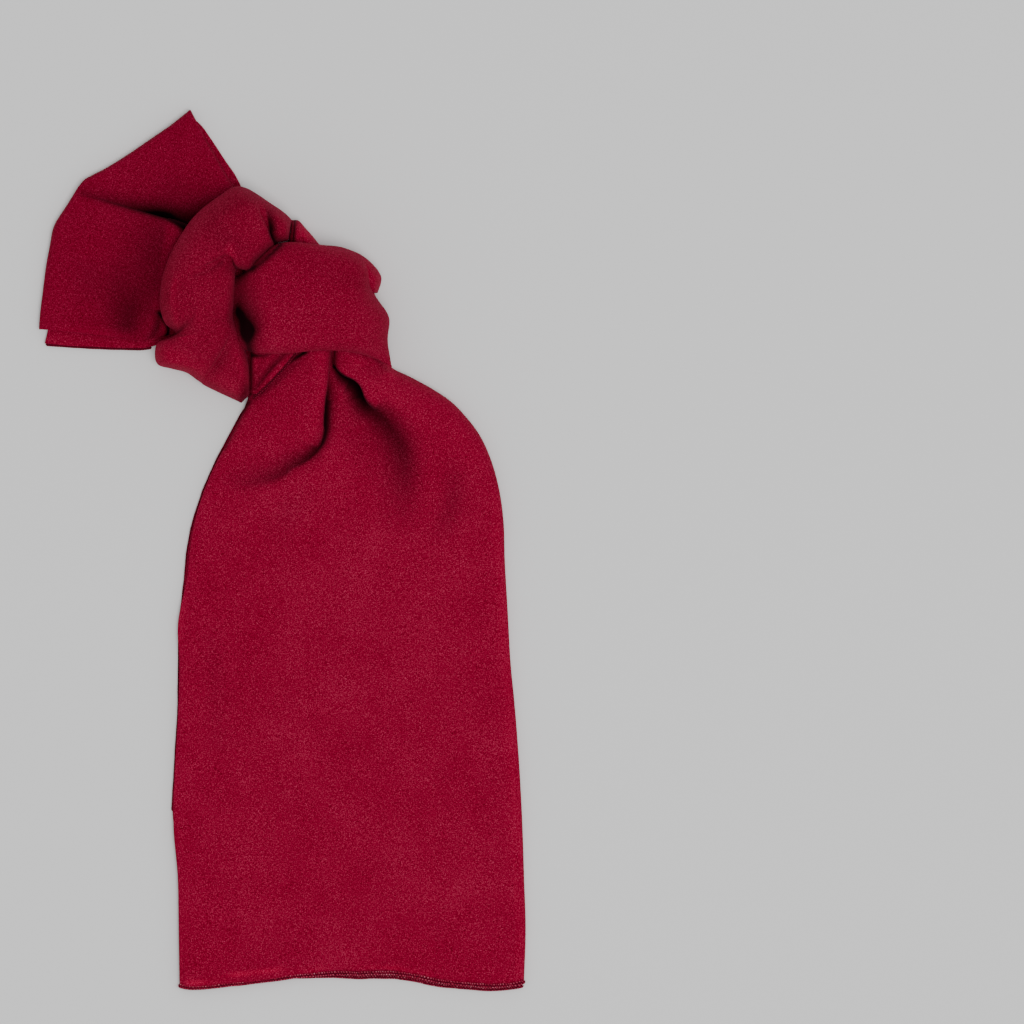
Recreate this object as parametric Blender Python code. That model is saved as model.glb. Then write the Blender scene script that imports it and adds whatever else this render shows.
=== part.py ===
"""A dark red crepe scarf, folded end to end and in thirds, tied once in a loose knot, lying flat.

Plan sizes are in millimetres in the plane it lies on, with the origin at the middle of its
outline and +Y towards the knot. Heights are above that plane. Each stretch of cloth is a
surface ruled between two edge lines, arched between them, with its sides rolled over in
quarter ellipses and its creases added as troughs, and is then given a wall. Layers that are
hidden are closed bodies that fill the room under those walls, with layered sides.
"""

import bpy
import numpy as np
from mathutils import Vector
from mathutils.bvhtree import BVHTree

MM = 0.001
CLOTH = 1.2  # wall of a stretch of cloth, which stands for its two or three layers
GAP = 0.45  # clear room between neighbouring pieces
BELLY = 0.42  # height of a rolled side's widest point, as a share of its height
TURN = 0.35  # how far a rolled side turns back under, as a share of its roll
MOST_TURN = 2.5  # and the most it turns under
MOST_DROP = 1.7  # most of the wall's height on steep creases, in walls
LAYERS = 3  # layers that show at the sides of the hidden bodies
LAYER_STEP = 0.5  # how far each layer stands out at those sides
BEAD = 1.15  # radius of the overlocked hem
RISE = 1.2  # how steeply a hidden body may rise from its edges

# Columns of a stretch's table, a row for each section across it.
# ax ay bx by: its two edges; bow: how far its middle is pushed along the stretch;
# za zm zb: heights at edge a's shoulder, the middle and edge b's shoulder;
# ra rb: widths of the rolled sides; fa fb: heights where the rolled sides end.
COLUMNS = ("ax", "ay", "bx", "by", "bow", "za", "zm", "zb", "ra", "rb", "fa", "fb")
# Columns of a hidden body's table: its two edges, the heights there, how far in those heights
# are kept, and the most height of the section.
UNDER_COLUMNS = ("ax", "ay", "bx", "by", "za", "zb", "ma", "mb", "most")
# Columns of a crease table: start, middle and end of its line, the depths there (less than
# nothing is a ridge), its widths on the left and right of the line, and how soft it is.
FOLD_COLUMNS = ("x0", "y0", "x1", "y1", "x2", "y2", "d0", "d1", "d2", "left", "right", "soft")

# Long tail, knot to hem: its two side edges (a left, b right).
LONG = (
    (20.4, 143, 60.6, 141, 0, 22, 27.5, 12, 7, 8, 14, 1),
    (9.2, 132.4, 65.3, 131.1, 0, 23, 28.5, 11, 7, 8, 15, 0),
    (-1.4, 122.2, 71.9, 121.2, 0, 17.5, 28.5, 11, 7, 8, 10, 0),
    (-12, 111.9, 84.4, 114.7, 0, 12, 28, 13, 7, 9, 6, 0),
    (-21.2, 102, 98.3, 107.2, 0, 9, 27, 15, 6, 10, 4.4, 0),
    (-25.8, 91.5, 110.5, 99.1, 0, 10, 26, 16, 6, 11, 4.4, 0),
    (-32.7, 76.3, 121.4, 88.2, 0, 10.5, 24, 15.5, 6, 11, 4.4, 0),
    (-42.8, 59.1, 131.3, 74.6, 0, 9.5, 21.5, 14.5, 5, 10, 4.4, 0),
    (-49.9, 43.3, 137.9, 59.8, 0, 8.5, 19, 13, 5, 9, 4.4, 0),
    (-55.5, 26.8, 143.1, 41.3, 0, 8, 16.5, 11.5, 4.5, 8, 4.4, 0),
    (-59.8, 7, 146.1, 20.2, 0, 7.6, 14, 10.5, 4.5, 7, 4.4, 0),
    (-62.8, -18.1, 147, -6.2, 0, 7.4, 12, 9.5, 4, 6, 4.4, 0),
    (-68.7, -49.1, 149, -41, 0, 7.2, 10.5, 8.8, 4, 5.5, 4.4, 0),
    (-67.7, -74.2, 150.7, -72.2, 0, 7, 9.5, 8.2, 4, 5, 4.4, 0),
    (-68.5, -106.5, 153.6, -102.6, 0, 6.8, 8.8, 7.8, 4, 5, 4.4, 0),
    (-70.7, -144.8, 156.5, -140.8, 0, 6.6, 8, 7.2, 4, 5, 4.4, 0),
    (-71.6, -181.1, 158.5, -177.8, 0, 6.4, 7.4, 6.7, 3.5, 4, 4.4, 0),
    (-68.7, -216.7, 159.8, -217.4, 0, 6.2, 6.8, 6.2, 3.5, 4, 4.4, 0),
    (-68.1, -253.7, 160.8, -250.4, 0, 6, 6.2, 5.9, 3, 4, 4.4, 0),
    (-67.6, -284.1, 159.7, -282.7, 0, 5.8, 5.8, 5.7, 3, 3, 4.2, 0),
)
# The inner stretch beside the knot: a is its fold, b its hemmed edge.
INNER = (
    (-19.9, 138.3, 19.7, 138.3, 0, 24, 26, 27, 3, 0, 12, 0),
    (-20.2, 131.1, 12.1, 130.7, 0, 23, 26.5, 28, 3, 0, 11, 0),
    (-20.2, 123.2, 3.9, 122.8, 0, 19, 23, 24.5, 3, 0, 9, 0),
    (-20.2, 115.2, -4, 114.9, 0, 15, 19, 20.5, 3, 0, 7, 0),
    (-20.2, 108.6, -10.6, 108.3, 0, 12.6, 14.8, 16.5, 2.5, 0, 7.6, 0),
    (-20.2, 103.6, -16.2, 103.3, 0, 13.4, 13.9, 14.6, 1.5, 0, 10.2, 0),
)
# Short tail, knot to fold: a is its upper edge, b its lower edge.
SHORT = (
    (-25.8, 227.4, -67.4, 143, 0, 14, 18.5, 7.5, 4, 3, 4.4, 4.4),
    (-30.4, 236.7, -74, 142, 0, 12.5, 18.5, 7, 4, 3, 4.4, 4.4),
    (-35.7, 245.9, -80.6, 140.8, 0, 10.5, 18.5, 6.8, 4, 3, 4.4, 4.4),
    (-43.6, 260.1, -86.5, 139.9, 0, 8.5, 18, 6.4, 3.5, 3, 4.4, 4.4),
    (-52.9, 276.3, -91.5, 138.3, 0, 7, 17, 6.2, 3, 3, 4.4, 4.4),
    (-58.8, 287.8, -94.1, 138.2, 0, 6.4, 16.5, 6.2, 3, 3, 4, 4.4),
    (-60.5, 290.7, -96.4, 138.6, 0, 6.2, 16.3, 6.2, 3, 3, 3, 4.4),
    (-63.1, 288.8, -99.1, 139, 0, 6.4, 16, 6.2, 3, 3, 1.5, 4.4),
    (-75.1, 279.6, -105.7, 140.1, 0, 7, 15.5, 6.2, 3, 3, 0, 4.4),
    (-86.5, 271.7, -113.6, 141.2, -0.6, 7.4, 15, 6.2, 3.5, 3, 0, 4.4),
    (-97.8, 263.9, -122.2, 142.3, -1.2, 7.6, 14.2, 6.2, 3.5, 3, 0, 4.4),
    (-108.3, 257.1, -130.8, 143.4, -2, 7.6, 13.3, 6.2, 3.5, 3, 0, 4.4),
    (-116.9, 251.9, -139.3, 144.3, -3, 7.6, 12.3, 6.2, 3.5, 3, 0, 4.4),
    (-124.8, 247.9, -147.9, 145, -4.2, 7.4, 11.2, 6.2, 3.5, 3, 0, 4.4),
    (-130.8, 244.3, -155.2, 145.6, -5.8, 7, 10, 6.2, 3.5, 3, 0, 4.4),
    (-134.5, 239.9, -160.7, 145.9, -7.6, 6.6, 8.8, 6.2, 3.5, 3, 0, 4.4),
)
# Loop, from the wrap round the left to its lower end: a outer edge, b inner edge.
LOOP = (
    (6.7, 217.9, 4.7, 204.3, 0, 30, 36, 33, 6, 5, 0, 16),
    (3.2, 221.5, 1.6, 203.5, 0, 33, 40, 36, 8, 5, 0, 16),
    (-2.1, 225.5, -2.4, 202.4, 0, 36, 44, 39, 9, 5, 0, 16),
    (-8, 229.4, -7.3, 199.4, 0, 38, 46.5, 41, 10, 6, 0, 16),
    (-15.3, 234.4, -12.3, 195.4, 0, 39, 48.5, 43, 11, 7, 0, 16),
    (-23.8, 239, -16.6, 191.1, 0, 39.5, 50, 44, 12, 7, 8, 16),
    (-31.8, 239.3, -21.2, 185.9, 0, 39.5, 51, 44, 12, 7, 15.2, 16),
    (-40.3, 233.7, -25.8, 184.9, 0, 40, 51.5, 43, 13, 7, 18.7, 16),
    (-49.6, 227.1, -28.8, 185.2, 0, 40.5, 52, 42, 13, 7, 20.7, 16),
    (-58.2, 218.9, -30.1, 183.2, 0, 40.5, 52, 41, 13, 7, 21.2, 16),
    (-66.1, 207.6, -30.4, 179.9, 0, 40, 51.5, 40.5, 13, 7, 21.2, 16),
    (-72.7, 195.8, -30.7, 176, 0, 39.5, 51, 40, 13, 7, 20.7, 16),
    (-77.6, 182.6, -31, 171.3, 0, 39, 50, 39, 13, 7, 19.7, 16),
    (-79.9, 170, -31.2, 166.1, 0, 38, 49, 38, 12, 7, 17.2, 16),
    (-79.7, 158.8, -31.6, 160.1, 0, 36, 48, 37, 11, 7, 14.2, 15),
    (-76.3, 149.2, -32, 155.2, 0, 32, 47, 36, 8, 7, 11.8, 14),
    (-70, 143.3, -31.4, 151.2, 0, 26, 46, 35, 5, 7, 9.4, 13),
    (-74, 140.3, -30.2, 147.9, 0, 22, 45, 34.5, 5, 7, 7, 12),
    (-81.6, 137.3, -28.8, 144.6, 0, 22, 43.5, 34, 6, 7, 6, 11),
    (-83.6, 131.1, -27.1, 140.6, 0, 24, 42, 33, 8, 7, 2, 9),
    (-81.9, 122.8, -25.2, 135.7, 0, 25, 40, 32, 9, 7, 0, 7),
    (-72.7, 119.9, -23.5, 131.1, 0, 25, 37.5, 31, 9, 7, 0, 5),
    (-62.8, 117.2, -22.2, 125.5, 0, 24, 35, 29, 9, 6, 0, 4),
    (-52.9, 110, -21.6, 118.5, 0, 22, 31, 27, 8, 6, 0, 3),
    (-41.7, 104.3, -21.5, 111.3, 0, 18, 26, 23, 7, 5, 0, 2),
    (-30.4, 99.1, -21.5, 105.3, 0, 13, 18, 17, 5, 4, 0, 1),
    (-26.8, 97.4, -21.7, 102.4, 0, 11, 14, 13, 3.5, 3, 0, 0.5),
)
# Wrap, left to right: a is its upper edge, b its lower edge.
WRAP = (
    (-24.6, 182.4, -23.4, 132.2, 0, 36, 44, 38, 8, 6, 14, 23),
    (-16.9, 189.5, -14.6, 129.9, 0, 42, 47.5, 43, 9, 6, 16, 29),
    (-9, 196.7, -3.4, 129.4, 0, 43.5, 50, 44.5, 10, 6, 18, 30),
    (-0.7, 202.2, 7.2, 129.8, 0, 44.5, 51.5, 45.5, 11, 7, 26, 31),
    (9.2, 202.9, 17.1, 130.9, 0, 45, 52, 46, 12, 7, 29, 32),
    (19.1, 201.9, 26.3, 131.5, 0, 45, 52, 46, 12, 7, 28, 32),
    (29, 201, 36.2, 131.4, 0, 44, 51.5, 45.5, 12, 7, 14, 31.5),
    (38.2, 200.2, 45.5, 130.5, 0, 42, 50.5, 44.5, 12, 7, 3, 29),
    (45.1, 198.4, 55, 128.6, 0.8, 40, 48.5, 42.5, 12, 7, 1, 24),
    (50.1, 196.2, 63.9, 125.3, 2.6, 37, 45, 38, 12, 7, 0, 18),
    (53.4, 193.6, 72.4, 120.5, 4.8, 32, 40, 33, 9, 7, 0, 14),
)
# The end of the loop that goes under the wrap: a outer edge, b hidden edge.
TUCK = (
    (7.2, 217.8, 5.3, 203, 0, 20, 25, 24, 6, 0, 0, 12),
    (10.8, 217.7, 9.8, 200.4, 0, 21, 26.5, 25.5, 8, 0, 0, 12),
    (15.1, 213.2, 14.4, 198.4, 0, 20, 25.5, 25, 8, 0, 0, 12),
    (20.1, 207.6, 19.1, 197.1, 0, 17, 22.5, 23, 7, 0, 0, 10),
    (25.7, 200.7, 23.7, 195.8, 0, 10, 14, 15, 4, 0, 0, 6),
)
# The cloth coming back at the wrap's right: a inner edge, b outer edge.
RETURN = (
    (57.2, 188.2, 59, 189, 0, 15, 18, 15, 1, 1, 0, 0),
    (58.5, 184.5, 63.3, 184.4, 0, 21, 25, 20, 2.5, 3, 0, 0),
    (60.7, 180.6, 65.8, 180.2, 0, 23, 28, 22, 3, 4, 0, 0),
    (62, 176.6, 65.9, 175.6, 0, 22, 26, 21, 2.5, 3, 0, 0),
    (63.3, 173, 65.5, 172.5, 0, 18, 21, 18, 1.2, 1.4, 0, 0),
    (64.5, 170.3, 65.3, 170.1, 0, 12, 13, 12, 0.3, 0.3, 0, 0),
)
# Layers under the long tail: two edges and their heights.
LONG_UNDER = (
    (-19.2, 137.7, 55.4, 139, 10, 6, 0, 0, 60),
    (-19.9, 129.8, 58.7, 129.8, 8, 6, 0, 0, 60),
    (-20.1, 119.2, 64.6, 120.5, 5, 6, 0, 0, 60),
    (-19.9, 108.6, 75.8, 111.9, 3.4, 6, 0, 0, 60),
    (-20, 96.8, 90.3, 103.4, 3.4, 6, 2, 0, 60),
    (-27.1, 84.9, 104.2, 92.8, 3.4, 6, 4, 0, 60),
    (-36.4, 69, 116.1, 80.9, 3.4, 6, 4, 0, 60),
    (-47.3, 49.9, 125.3, 67.7, 3.4, 6, 4, 0, 60),
    (-54.4, 30.1, 133.2, 49.9, 3.4, 5, 4, 0, 60),
    (-58.4, 10.3, 137.9, 28.1, 3.4, 4.5, 4, 0, 60),
    (-61.5, -9.5, 140.5, 1.7, 3.4, 4, 4, 0, 60),
    (-63.4, -29.3, 141.8, -26, 3.4, 4, 4, 0, 60),
    (-65.4, -51.1, 143.8, -45.8, 3.4, 4, 4, 0, 60),
    (-66.4, -75.5, 145.1, -75.5, 3.4, 3.6, 4, 0, 60),
    (-67.4, -108.5, 147.8, -105.2, 3.4, 3.6, 4, 0, 60),
    (-69.4, -144.8, 150.4, -142.2, 3.4, 3.4, 4, 0, 60),
    (-70.2, -172.5, 152.4, -177.8, 3.4, 3.2, 4, 0, 60),
    (-67.1, -207.5, 153.7, -217.4, 3.4, 3, 4, 0, 60),
    (-66.4, -250.4, 154, -250.4, 3.4, 3, 4, 0, 4),
    (-66.1, -279.4, 154.7, -280.8, 3.2, 3.2, 4, 0, 3.2),
)
# Layers under the short tail: two edges and their heights.
SHORT_UNDER = (
    (-23.2, 226.1, -60.8, 141, 3.4, 4, 4, 8, 60),
    (-26.5, 238, -68.7, 139, 3.4, 4, 8, 8, 60),
    (-30.9, 247.2, -76, 137.7, 3.4, 3.4, 8, 8, 60),
    (-37.5, 256.8, -82.9, 137, 3.4, 3.4, 8, 8, 60),
    (-47.4, 271.8, -89.2, 135.6, 3.4, 3.4, 8, 9, 60),
    (-54.2, 280.9, -95.1, 135.3, 3.4, 3.4, 5, 9, 60),
    (-60.1, 285.2, -99.1, 135.4, 3.4, 3.4, 2, 9, 60),
    (-73.7, 275.6, -109, 135.6, 3, 3.4, 1, 9, 60),
    (-85.5, 267.5, -118.2, 135.9, 3, 3.4, 1, 9, 60),
    (-97.4, 259.2, -126.8, 136.2, 3, 3.4, 1, 9, 60),
    (-108, 252.6, -134.7, 136.5, 3, 3.4, 1, 9, 60),
    (-116.9, 248.2, -142, 136.9, 3, 3.4, 1, 9, 60),
    (-124.8, 243.3, -148.6, 137.4, 3, 3.4, 1, 9, 60),
    (-129.4, 238, -154.4, 138.3, 3, 3.4, 1, 9, 60),
)
# Hidden layers under the wrap, left to right.
WRAP_CORE = (
    (-31.2, 179.9, -31.1, 141.6, 11, 10, 40, 40, 12),
    (-28.1, 182.6, -27.1, 140, 12, 11, 40, 40, 13),
    (-23.8, 184.2, -22.5, 139.7, 12.5, 12, 4, 4, 14),
    (-19.5, 189.8, -15.9, 140.3, 12, 10, 1, 1, 60),
    (-13.3, 196.4, -8, 141, 10, 10, 0, 0, 60),
    (-4, 200.7, 1.2, 141, 10, 10, 0, 0, 60),
    (9.2, 193.4, 12.5, 141.6, 10, 10, 0, 0, 60),
    (23.7, 191.8, 21, 147.6, 10, 10, 0, 0, 60),
    (32.9, 193.4, 31.6, 146.9, 10, 10, 0, 0, 60),
    (43.5, 192.1, 42.2, 145.6, 10, 10, 0, 0, 60),
    (50.7, 186.5, 51.4, 144.9, 10, 10, 0, 0, 60),
    (56, 177.9, 57.3, 144.9, 8, 8, 0, 0, 60),
)
# Hidden layers under the loop, along it.
LOOP_CORE = (
    (1.2, 215.6, -0.1, 206.3, 10, 10, 0, 0, 60),
    (-6, 220.2, -8, 204.3, 10, 10, 0, 0, 60),
    (-14.6, 224.8, -15.6, 199.7, 10, 10, 0, 0, 60),
    (-20.5, 224.1, -21.9, 192.8, 10, 10, 0, 0, 60),
    (-25.8, 213.6, -27.1, 187.8, 10, 10, 0, 0, 60),
    (-31.4, 201.7, -30.4, 183.9, 10, 10, 0, 0, 60),
    (-36.7, 189.8, -32.7, 176, 10, 10, 0, 0, 60),
    (-42, 177.9, -33.7, 168, 10, 10, 0, 0, 60),
    (-47.9, 164.7, -34.4, 159.5, 10, 10, 0, 0, 60),
    (-53.9, 151.5, -34.7, 151.5, 10, 10, 0, 0, 60),
    (-59.8, 138.3, -33.7, 144.3, 10, 10, 0, 0, 60),
    (-66.1, 131.1, -31.1, 137, 10, 10, 0, 0, 60),
    (-63.4, 126.5, -29.1, 131.1, 10, 10, 0, 0, 60),
    (-54.9, 121.2, -27.5, 124.5, 8, 8, 0, 0, 60),
    (-45.6, 114.6, -25.2, 118.5, 6, 6, 0, 0, 60),
    (-35.7, 108.6, -24.5, 112.6, 5, 5, 0, 0, 60),
    (-29.1, 105, -23.8, 108, 4, 4, 0, 0, 60),
)
# Hem of the layer that shows at the long tail's left: x, y, height.
SIDE_HEM = (
    (-24.8, 94.1, 2),
    (-30, 85.9, 2.2),
    (-39.5, 70.4, 2.2),
    (-50.2, 51.2, 2.2),
    (-56.5, 32.1, 2.2),
    (-60.6, 11.6, 2.2),
    (-63.4, -8.2, 2.2),
    (-65.3, -28.6, 2.2),
    (-67.3, -51.1, 2.2),
    (-68.3, -75.5, 2.2),
    (-69.4, -108.5, 2.2),
    (-71.4, -144.8, 2.2),
    (-72.1, -172.5, 2.2),
)
# Hem of the layer that shows under the short tail: x, y, height.
SHORT_HEM = (
    (-155, 135.8, 2.2),
    (-135.7, 134.4, 2.2),
    (-110.4, 133.3, 2.2),
    (-93.1, 132.9, 2.2),
    (-85.9, 134, 2.2),
)
# Hem line of the long tail: x, then y of the top layer's end and of the next layer's.
HEM = (
    (-67.4, -287, -284.4),
    (-50.9, -288.9, -286),
    (-25.8, -284.9, -282.1),
    (5.9, -281.2, -279.2),
    (35.6, -278.8, -279.7),
    (48.1, -278.5, -281.4),
    (69.2, -277.7, -280.8),
    (90.3, -281.2, -284.5),
    (106.8, -284.9, -288.2),
    (132.6, -287, -290.3),
    (147.1, -287.4, -290.7),
    (160.3, -284.4, -287.2),
)
LONG_FOLDS = (
    (33.6, 132.4, 30.9, 113.9, 29, 92.8, 11, 11, 9, 3.5, 5, 1.3),
    (29, 92.8, 27.6, 71, 17.7, 60.5, 9, 7.5, 6, 5, 4, 1.3),
    (17.7, 60.5, 5.2, 51.9, -17.9, 42, 6, 4, 0, 10, 5, 1.6),
    (34.9, 125.8, 51.4, 99.4, 73.2, 77.6, 5, 7.5, 6, 6, 5, 1.4),
    (73.2, 77.6, 83.1, 53.2, 80.4, 23.5, 6, 4.5, 0, 12, 11, 1.8),
    (11.8, 127.1, -4, 111.9, -19.9, 96.8, 4, 2.5, 2.2, 4, 6, 1.5),
    (108.2, 53.2, 115.4, 31.4, 110.1, 7, 0, 2.2, 0, 12, 12, 2),
    (67.9, 102.7, 97.6, 82.9, 117.4, 53.2, 0, -3, 0, 14, 12, 2),
    (11.8, 109.3, 1.9, 89.5, -17.9, 66.4, 0, -2.5, 0, 12, 12, 2),
)
SHORT_FOLDS = (
    (-130.8, 236, -93.8, 224.5, -60.8, 215.2, 0, 4.5, 11, 14, 3.5, 1.5),
    (-87.2, 197.1, -91.8, 177.3, -97.1, 157.5, 0, 2.6, 0, 10, 12, 2),
)
LOOP_FOLDS = (
    (-13.3, 222.2, -9.6, 208.3, -4.7, 199.7, 1, 6, 9, 5, 4, 1.4),
    (-60.1, 181.9, -45.6, 188.2, -35.7, 193.4, 1, 4, 6, 3, 12, 1.5),
    (-35.7, 193.4, -30.4, 191.1, -28.5, 184.5, 6, 8, 10, 3, 8, 1.5),
    (-74, 141.6, -61.1, 145.9, -57.2, 158.8, 8, 9, 3, 6, 6, 1.6),
    (-39.7, 133.1, -48.9, 117.2, -52.9, 110, 1, 4.5, 6, 5, 6, 1.6),
)


def distances(rows):
    """How far along a table each of its rows is."""
    rows = np.array(rows, float)
    a, b = rows[:, :2], rows[:, 2:4]
    steps = sum(np.linalg.norm(np.diff(p, axis=0), axis=1) for p in (a, b, (a + b) / 2)) / 3
    return np.concatenate([[0.0], np.cumsum(steps)])


def blend(rows, where):
    """Rows of a table joined by smooth curves, read at distances along it (a share of it all)."""
    rows = np.array(rows, float)
    d = distances(rows)
    slope = np.gradient(rows, d, axis=0)
    at = np.clip(where, 0, 1) * d[-1]
    k = np.clip(np.searchsorted(d, at, side="right") - 1, 0, len(d) - 2)
    h = (d[k + 1] - d[k])[:, None]
    s = ((at - d[k])[:, None]) / h
    out = rows[k] * (2 * s**3 - 3 * s**2 + 1) + rows[k + 1] * (3 * s**2 - 2 * s**3)
    return out + slope[k] * h * (s**3 - 2 * s**2 + s) + slope[k + 1] * h * (s**3 - s**2)


def length(rows):
    """Length along the middle of a table's sections."""
    rows = np.array(rows, float)
    middle = (rows[:, :2] + rows[:, 2:4]) / 2
    return np.linalg.norm(np.diff(middle, axis=0), axis=1).sum()


def side_steps(rolled):
    """Distances in from a rolled side's widest point, and the share of the height there."""
    angle = np.linspace(0, 1, rolled + 1) * np.pi / 2
    return 1 - np.cos(angle), np.sin(angle)


def creases(x, y, folds):
    """How far the creases lower the cloth at each point."""
    total = np.zeros_like(x)
    for fold in folds:
        f = dict(zip(FOLD_COLUMNS, fold))
        t = np.linspace(0, 1, 17)
        weights = ((1 - t) * (1 - 2 * t), 4 * t * (1 - t), t * (2 * t - 1))
        px = weights[0] * f["x0"] + weights[1] * f["x1"] + weights[2] * f["x2"]
        py = weights[0] * f["y0"] + weights[1] * f["y1"] + weights[2] * f["y2"]
        depth = weights[0] * f["d0"] + weights[1] * f["d1"] + weights[2] * f["d2"]
        dx, dy = np.diff(px), np.diff(py)
        share = ((x[..., None] - px[:-1]) * dx + (y[..., None] - py[:-1]) * dy) / (dx**2 + dy**2)
        share = np.clip(share, 0, 1)
        gx = x[..., None] - px[:-1] - share * dx
        gy = y[..., None] - py[:-1] - share * dy
        away = np.hypot(gx, gy)
        k = away.argmin(axis=-1)[..., None]
        away = np.take_along_axis(away, k, -1)[..., 0]
        share = np.take_along_axis(share, k, -1)[..., 0]
        k = k[..., 0]
        left = dx[k] * (y - py[k]) - dy[k] * (x - px[k]) > 0
        width = np.where(left, f["left"], f["right"])
        here = depth[k] * (1 - share) + depth[k + 1] * share
        total += here * np.exp(-((away / width) ** f["soft"]))
    return total


def slope_of(folds, x, y, step=0.5):
    """Length of the sloping face over each unit of plan, from the creases."""
    here = creases(x, y, folds)
    along_x = (creases(x + step, y, folds) - here) / step
    along_y = (creases(x, y + step, folds) - here) / step
    return np.sqrt(1 + along_x**2 + along_y**2)


def inset_along(edge, ruling, inset):
    """How far along the ruling to go for this distance in from the edge."""
    tangent = np.gradient(edge, axis=0)
    tangent /= np.maximum(np.linalg.norm(tangent, axis=1)[:, None], 1e-6)
    across = ruling / np.linalg.norm(ruling, axis=1)[:, None]
    skew = np.abs(tangent[:, 0] * across[:, 1] - tangent[:, 1] * across[:, 0])
    return (inset / np.maximum(skew, 0.5))[:, None]


def end_inset(rows, inset):
    """The inset at both ends, measured along the middle of the stretch."""
    rows = np.array(rows, float)
    middle = (rows[:, :2] + rows[:, 2:4]) / 2
    ruling = rows[:, 2:4] - rows[:, :2]
    found = []
    for tangent, across in ((middle[1] - middle[0], ruling[0]), (middle[-1] - middle[-2], ruling[-1])):
        skew = abs(tangent[0] * across[1] - tangent[1] * across[0])
        skew /= np.linalg.norm(tangent) * np.linalg.norm(across)
        found.append(inset / max(skew, 0.5))
    return found


def fading(away, roll):
    """How far the foot is pushed in, at a distance from a rolled edge."""
    most = np.minimum(TURN * roll, MOST_TURN)
    return most * np.clip(1 - away / np.maximum(3 * most, 0.01), 0, 1)


def skin(rows, nv, nu, folds, sides, ends, rolled, foot, keep, inset):
    """One face of a stretch: points along it and across it, and the foot below each.

    The outer face has no inset. The inner face is set in from every rolled side and down
    from the top by the wall, and its points match the outer face's one to one.
    """
    whole = length(rows)
    open_side = (np.zeros(1), np.ones(1))
    begin, level_begin = side_steps(rolled) if ends[0] else open_side
    finish, level_finish = side_steps(rolled) if ends[1] else open_side
    first, last = end_inset(rows, inset)
    begin = first * bool(ends[0]) + begin * max(ends[0] - first, 0)
    finish = last * bool(ends[1]) + finish * max(ends[1] - last, 0)
    middle = np.linspace(begin[-1], whole - finish[-1], nv)[1:-1]
    for row in keep:
        here = distances(rows)[row] / distances(rows)[-1] * whole
        middle[np.abs(middle - here).argmin()] = here
    along = np.concatenate([begin, middle, (whole - finish)[::-1]])
    at = along / whole
    level_v = np.concatenate([level_begin, np.ones(len(middle)), level_finish[::-1]])[:, None]
    c = dict(zip(COLUMNS, blend(rows, at).T[:, :, None]))
    edge_a = np.hstack([c["ax"], c["ay"]])
    edge_b = np.hstack([c["bx"], c["by"]])
    width = np.hypot(c["bx"] - c["ax"], c["by"] - c["ay"])
    in_a = inset_along(edge_a, edge_b - edge_a, CLOTH) if sides[0] else 0 * width
    in_b = inset_along(edge_b, edge_b - edge_a, CLOTH) if sides[1] else 0 * width
    ra = np.minimum(np.maximum(c["ra"], 1.4 * in_a), 0.45 * width) if sides[0] else 0 * width
    rb = np.minimum(np.maximum(c["rb"], 1.4 * in_b), 0.45 * width) if sides[1] else 0 * width
    in_a, in_b = (np.minimum(k, 0.8 * r) * (inset > 0) for k, r in ((in_a, ra), (in_b, rb)))
    unit_a, level_a = side_steps(rolled) if sides[0] else open_side
    unit_b, level_b = side_steps(rolled) if sides[1] else open_side
    share = np.linspace(0, 1, nu)[None, 1:-1]
    between = ra + (width - ra - rb) * share
    from_a = in_a + (ra - in_a) * unit_a
    from_b = in_b + (rb - in_b) * unit_b
    across = np.concatenate([from_a, between, width - from_b[:, ::-1]], axis=1)
    level_u = np.concatenate([level_a, np.ones(nu - 2), level_b[::-1]])[None, :]
    u = across / width
    bowed = 4 * u * (1 - u) * c["bow"]
    x = c["ax"] + (c["bx"] - c["ax"]) * u - (c["by"] - c["ay"]) / width * bowed
    y = c["ay"] + (c["by"] - c["ay"]) * u + (c["bx"] - c["ax"]) / width * bowed
    arch = c["zm"] - (c["za"] + c["zb"]) / 2
    top = c["za"] + (c["zb"] - c["za"]) * u + arch * (1 - (2 * u - 1) ** 2) - creases(x, y, folds)
    low = np.maximum(c["fa"] + (c["fb"] - c["fa"]) * u**foot, 0)
    top = np.maximum(top, low + 2.6 * CLOTH)
    side = low + BELLY * (top - low)
    drop = inset * np.minimum(slope_of(folds, x, y), MOST_DROP)
    under = np.maximum(top - drop, side + 0.3 * CLOTH)
    z = side + (under - side) * level_u * level_v
    plan = np.stack([x, y], axis=-1)
    # The foot is pushed in from each rolled edge, by less and less away from it.
    ways = np.gradient(plan, axis=(0, 1))
    ways = [g / np.maximum(np.linalg.norm(g, axis=-1), 1e-6)[..., None] for g in ways]
    along = along[:, None]
    push_v = fading(along - along[0], ends[0]) - fading(along[-1] - along, ends[1])
    push_u = fading(across - across[:, :1], ra) - fading(across[:, -1:] - across, rb)
    inward = ways[0] * push_v[..., None] + ways[1] * push_u[..., None]
    return np.stack([x, y, z], axis=-1), np.concatenate([plan + inward, low[..., None]], axis=-1)


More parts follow.
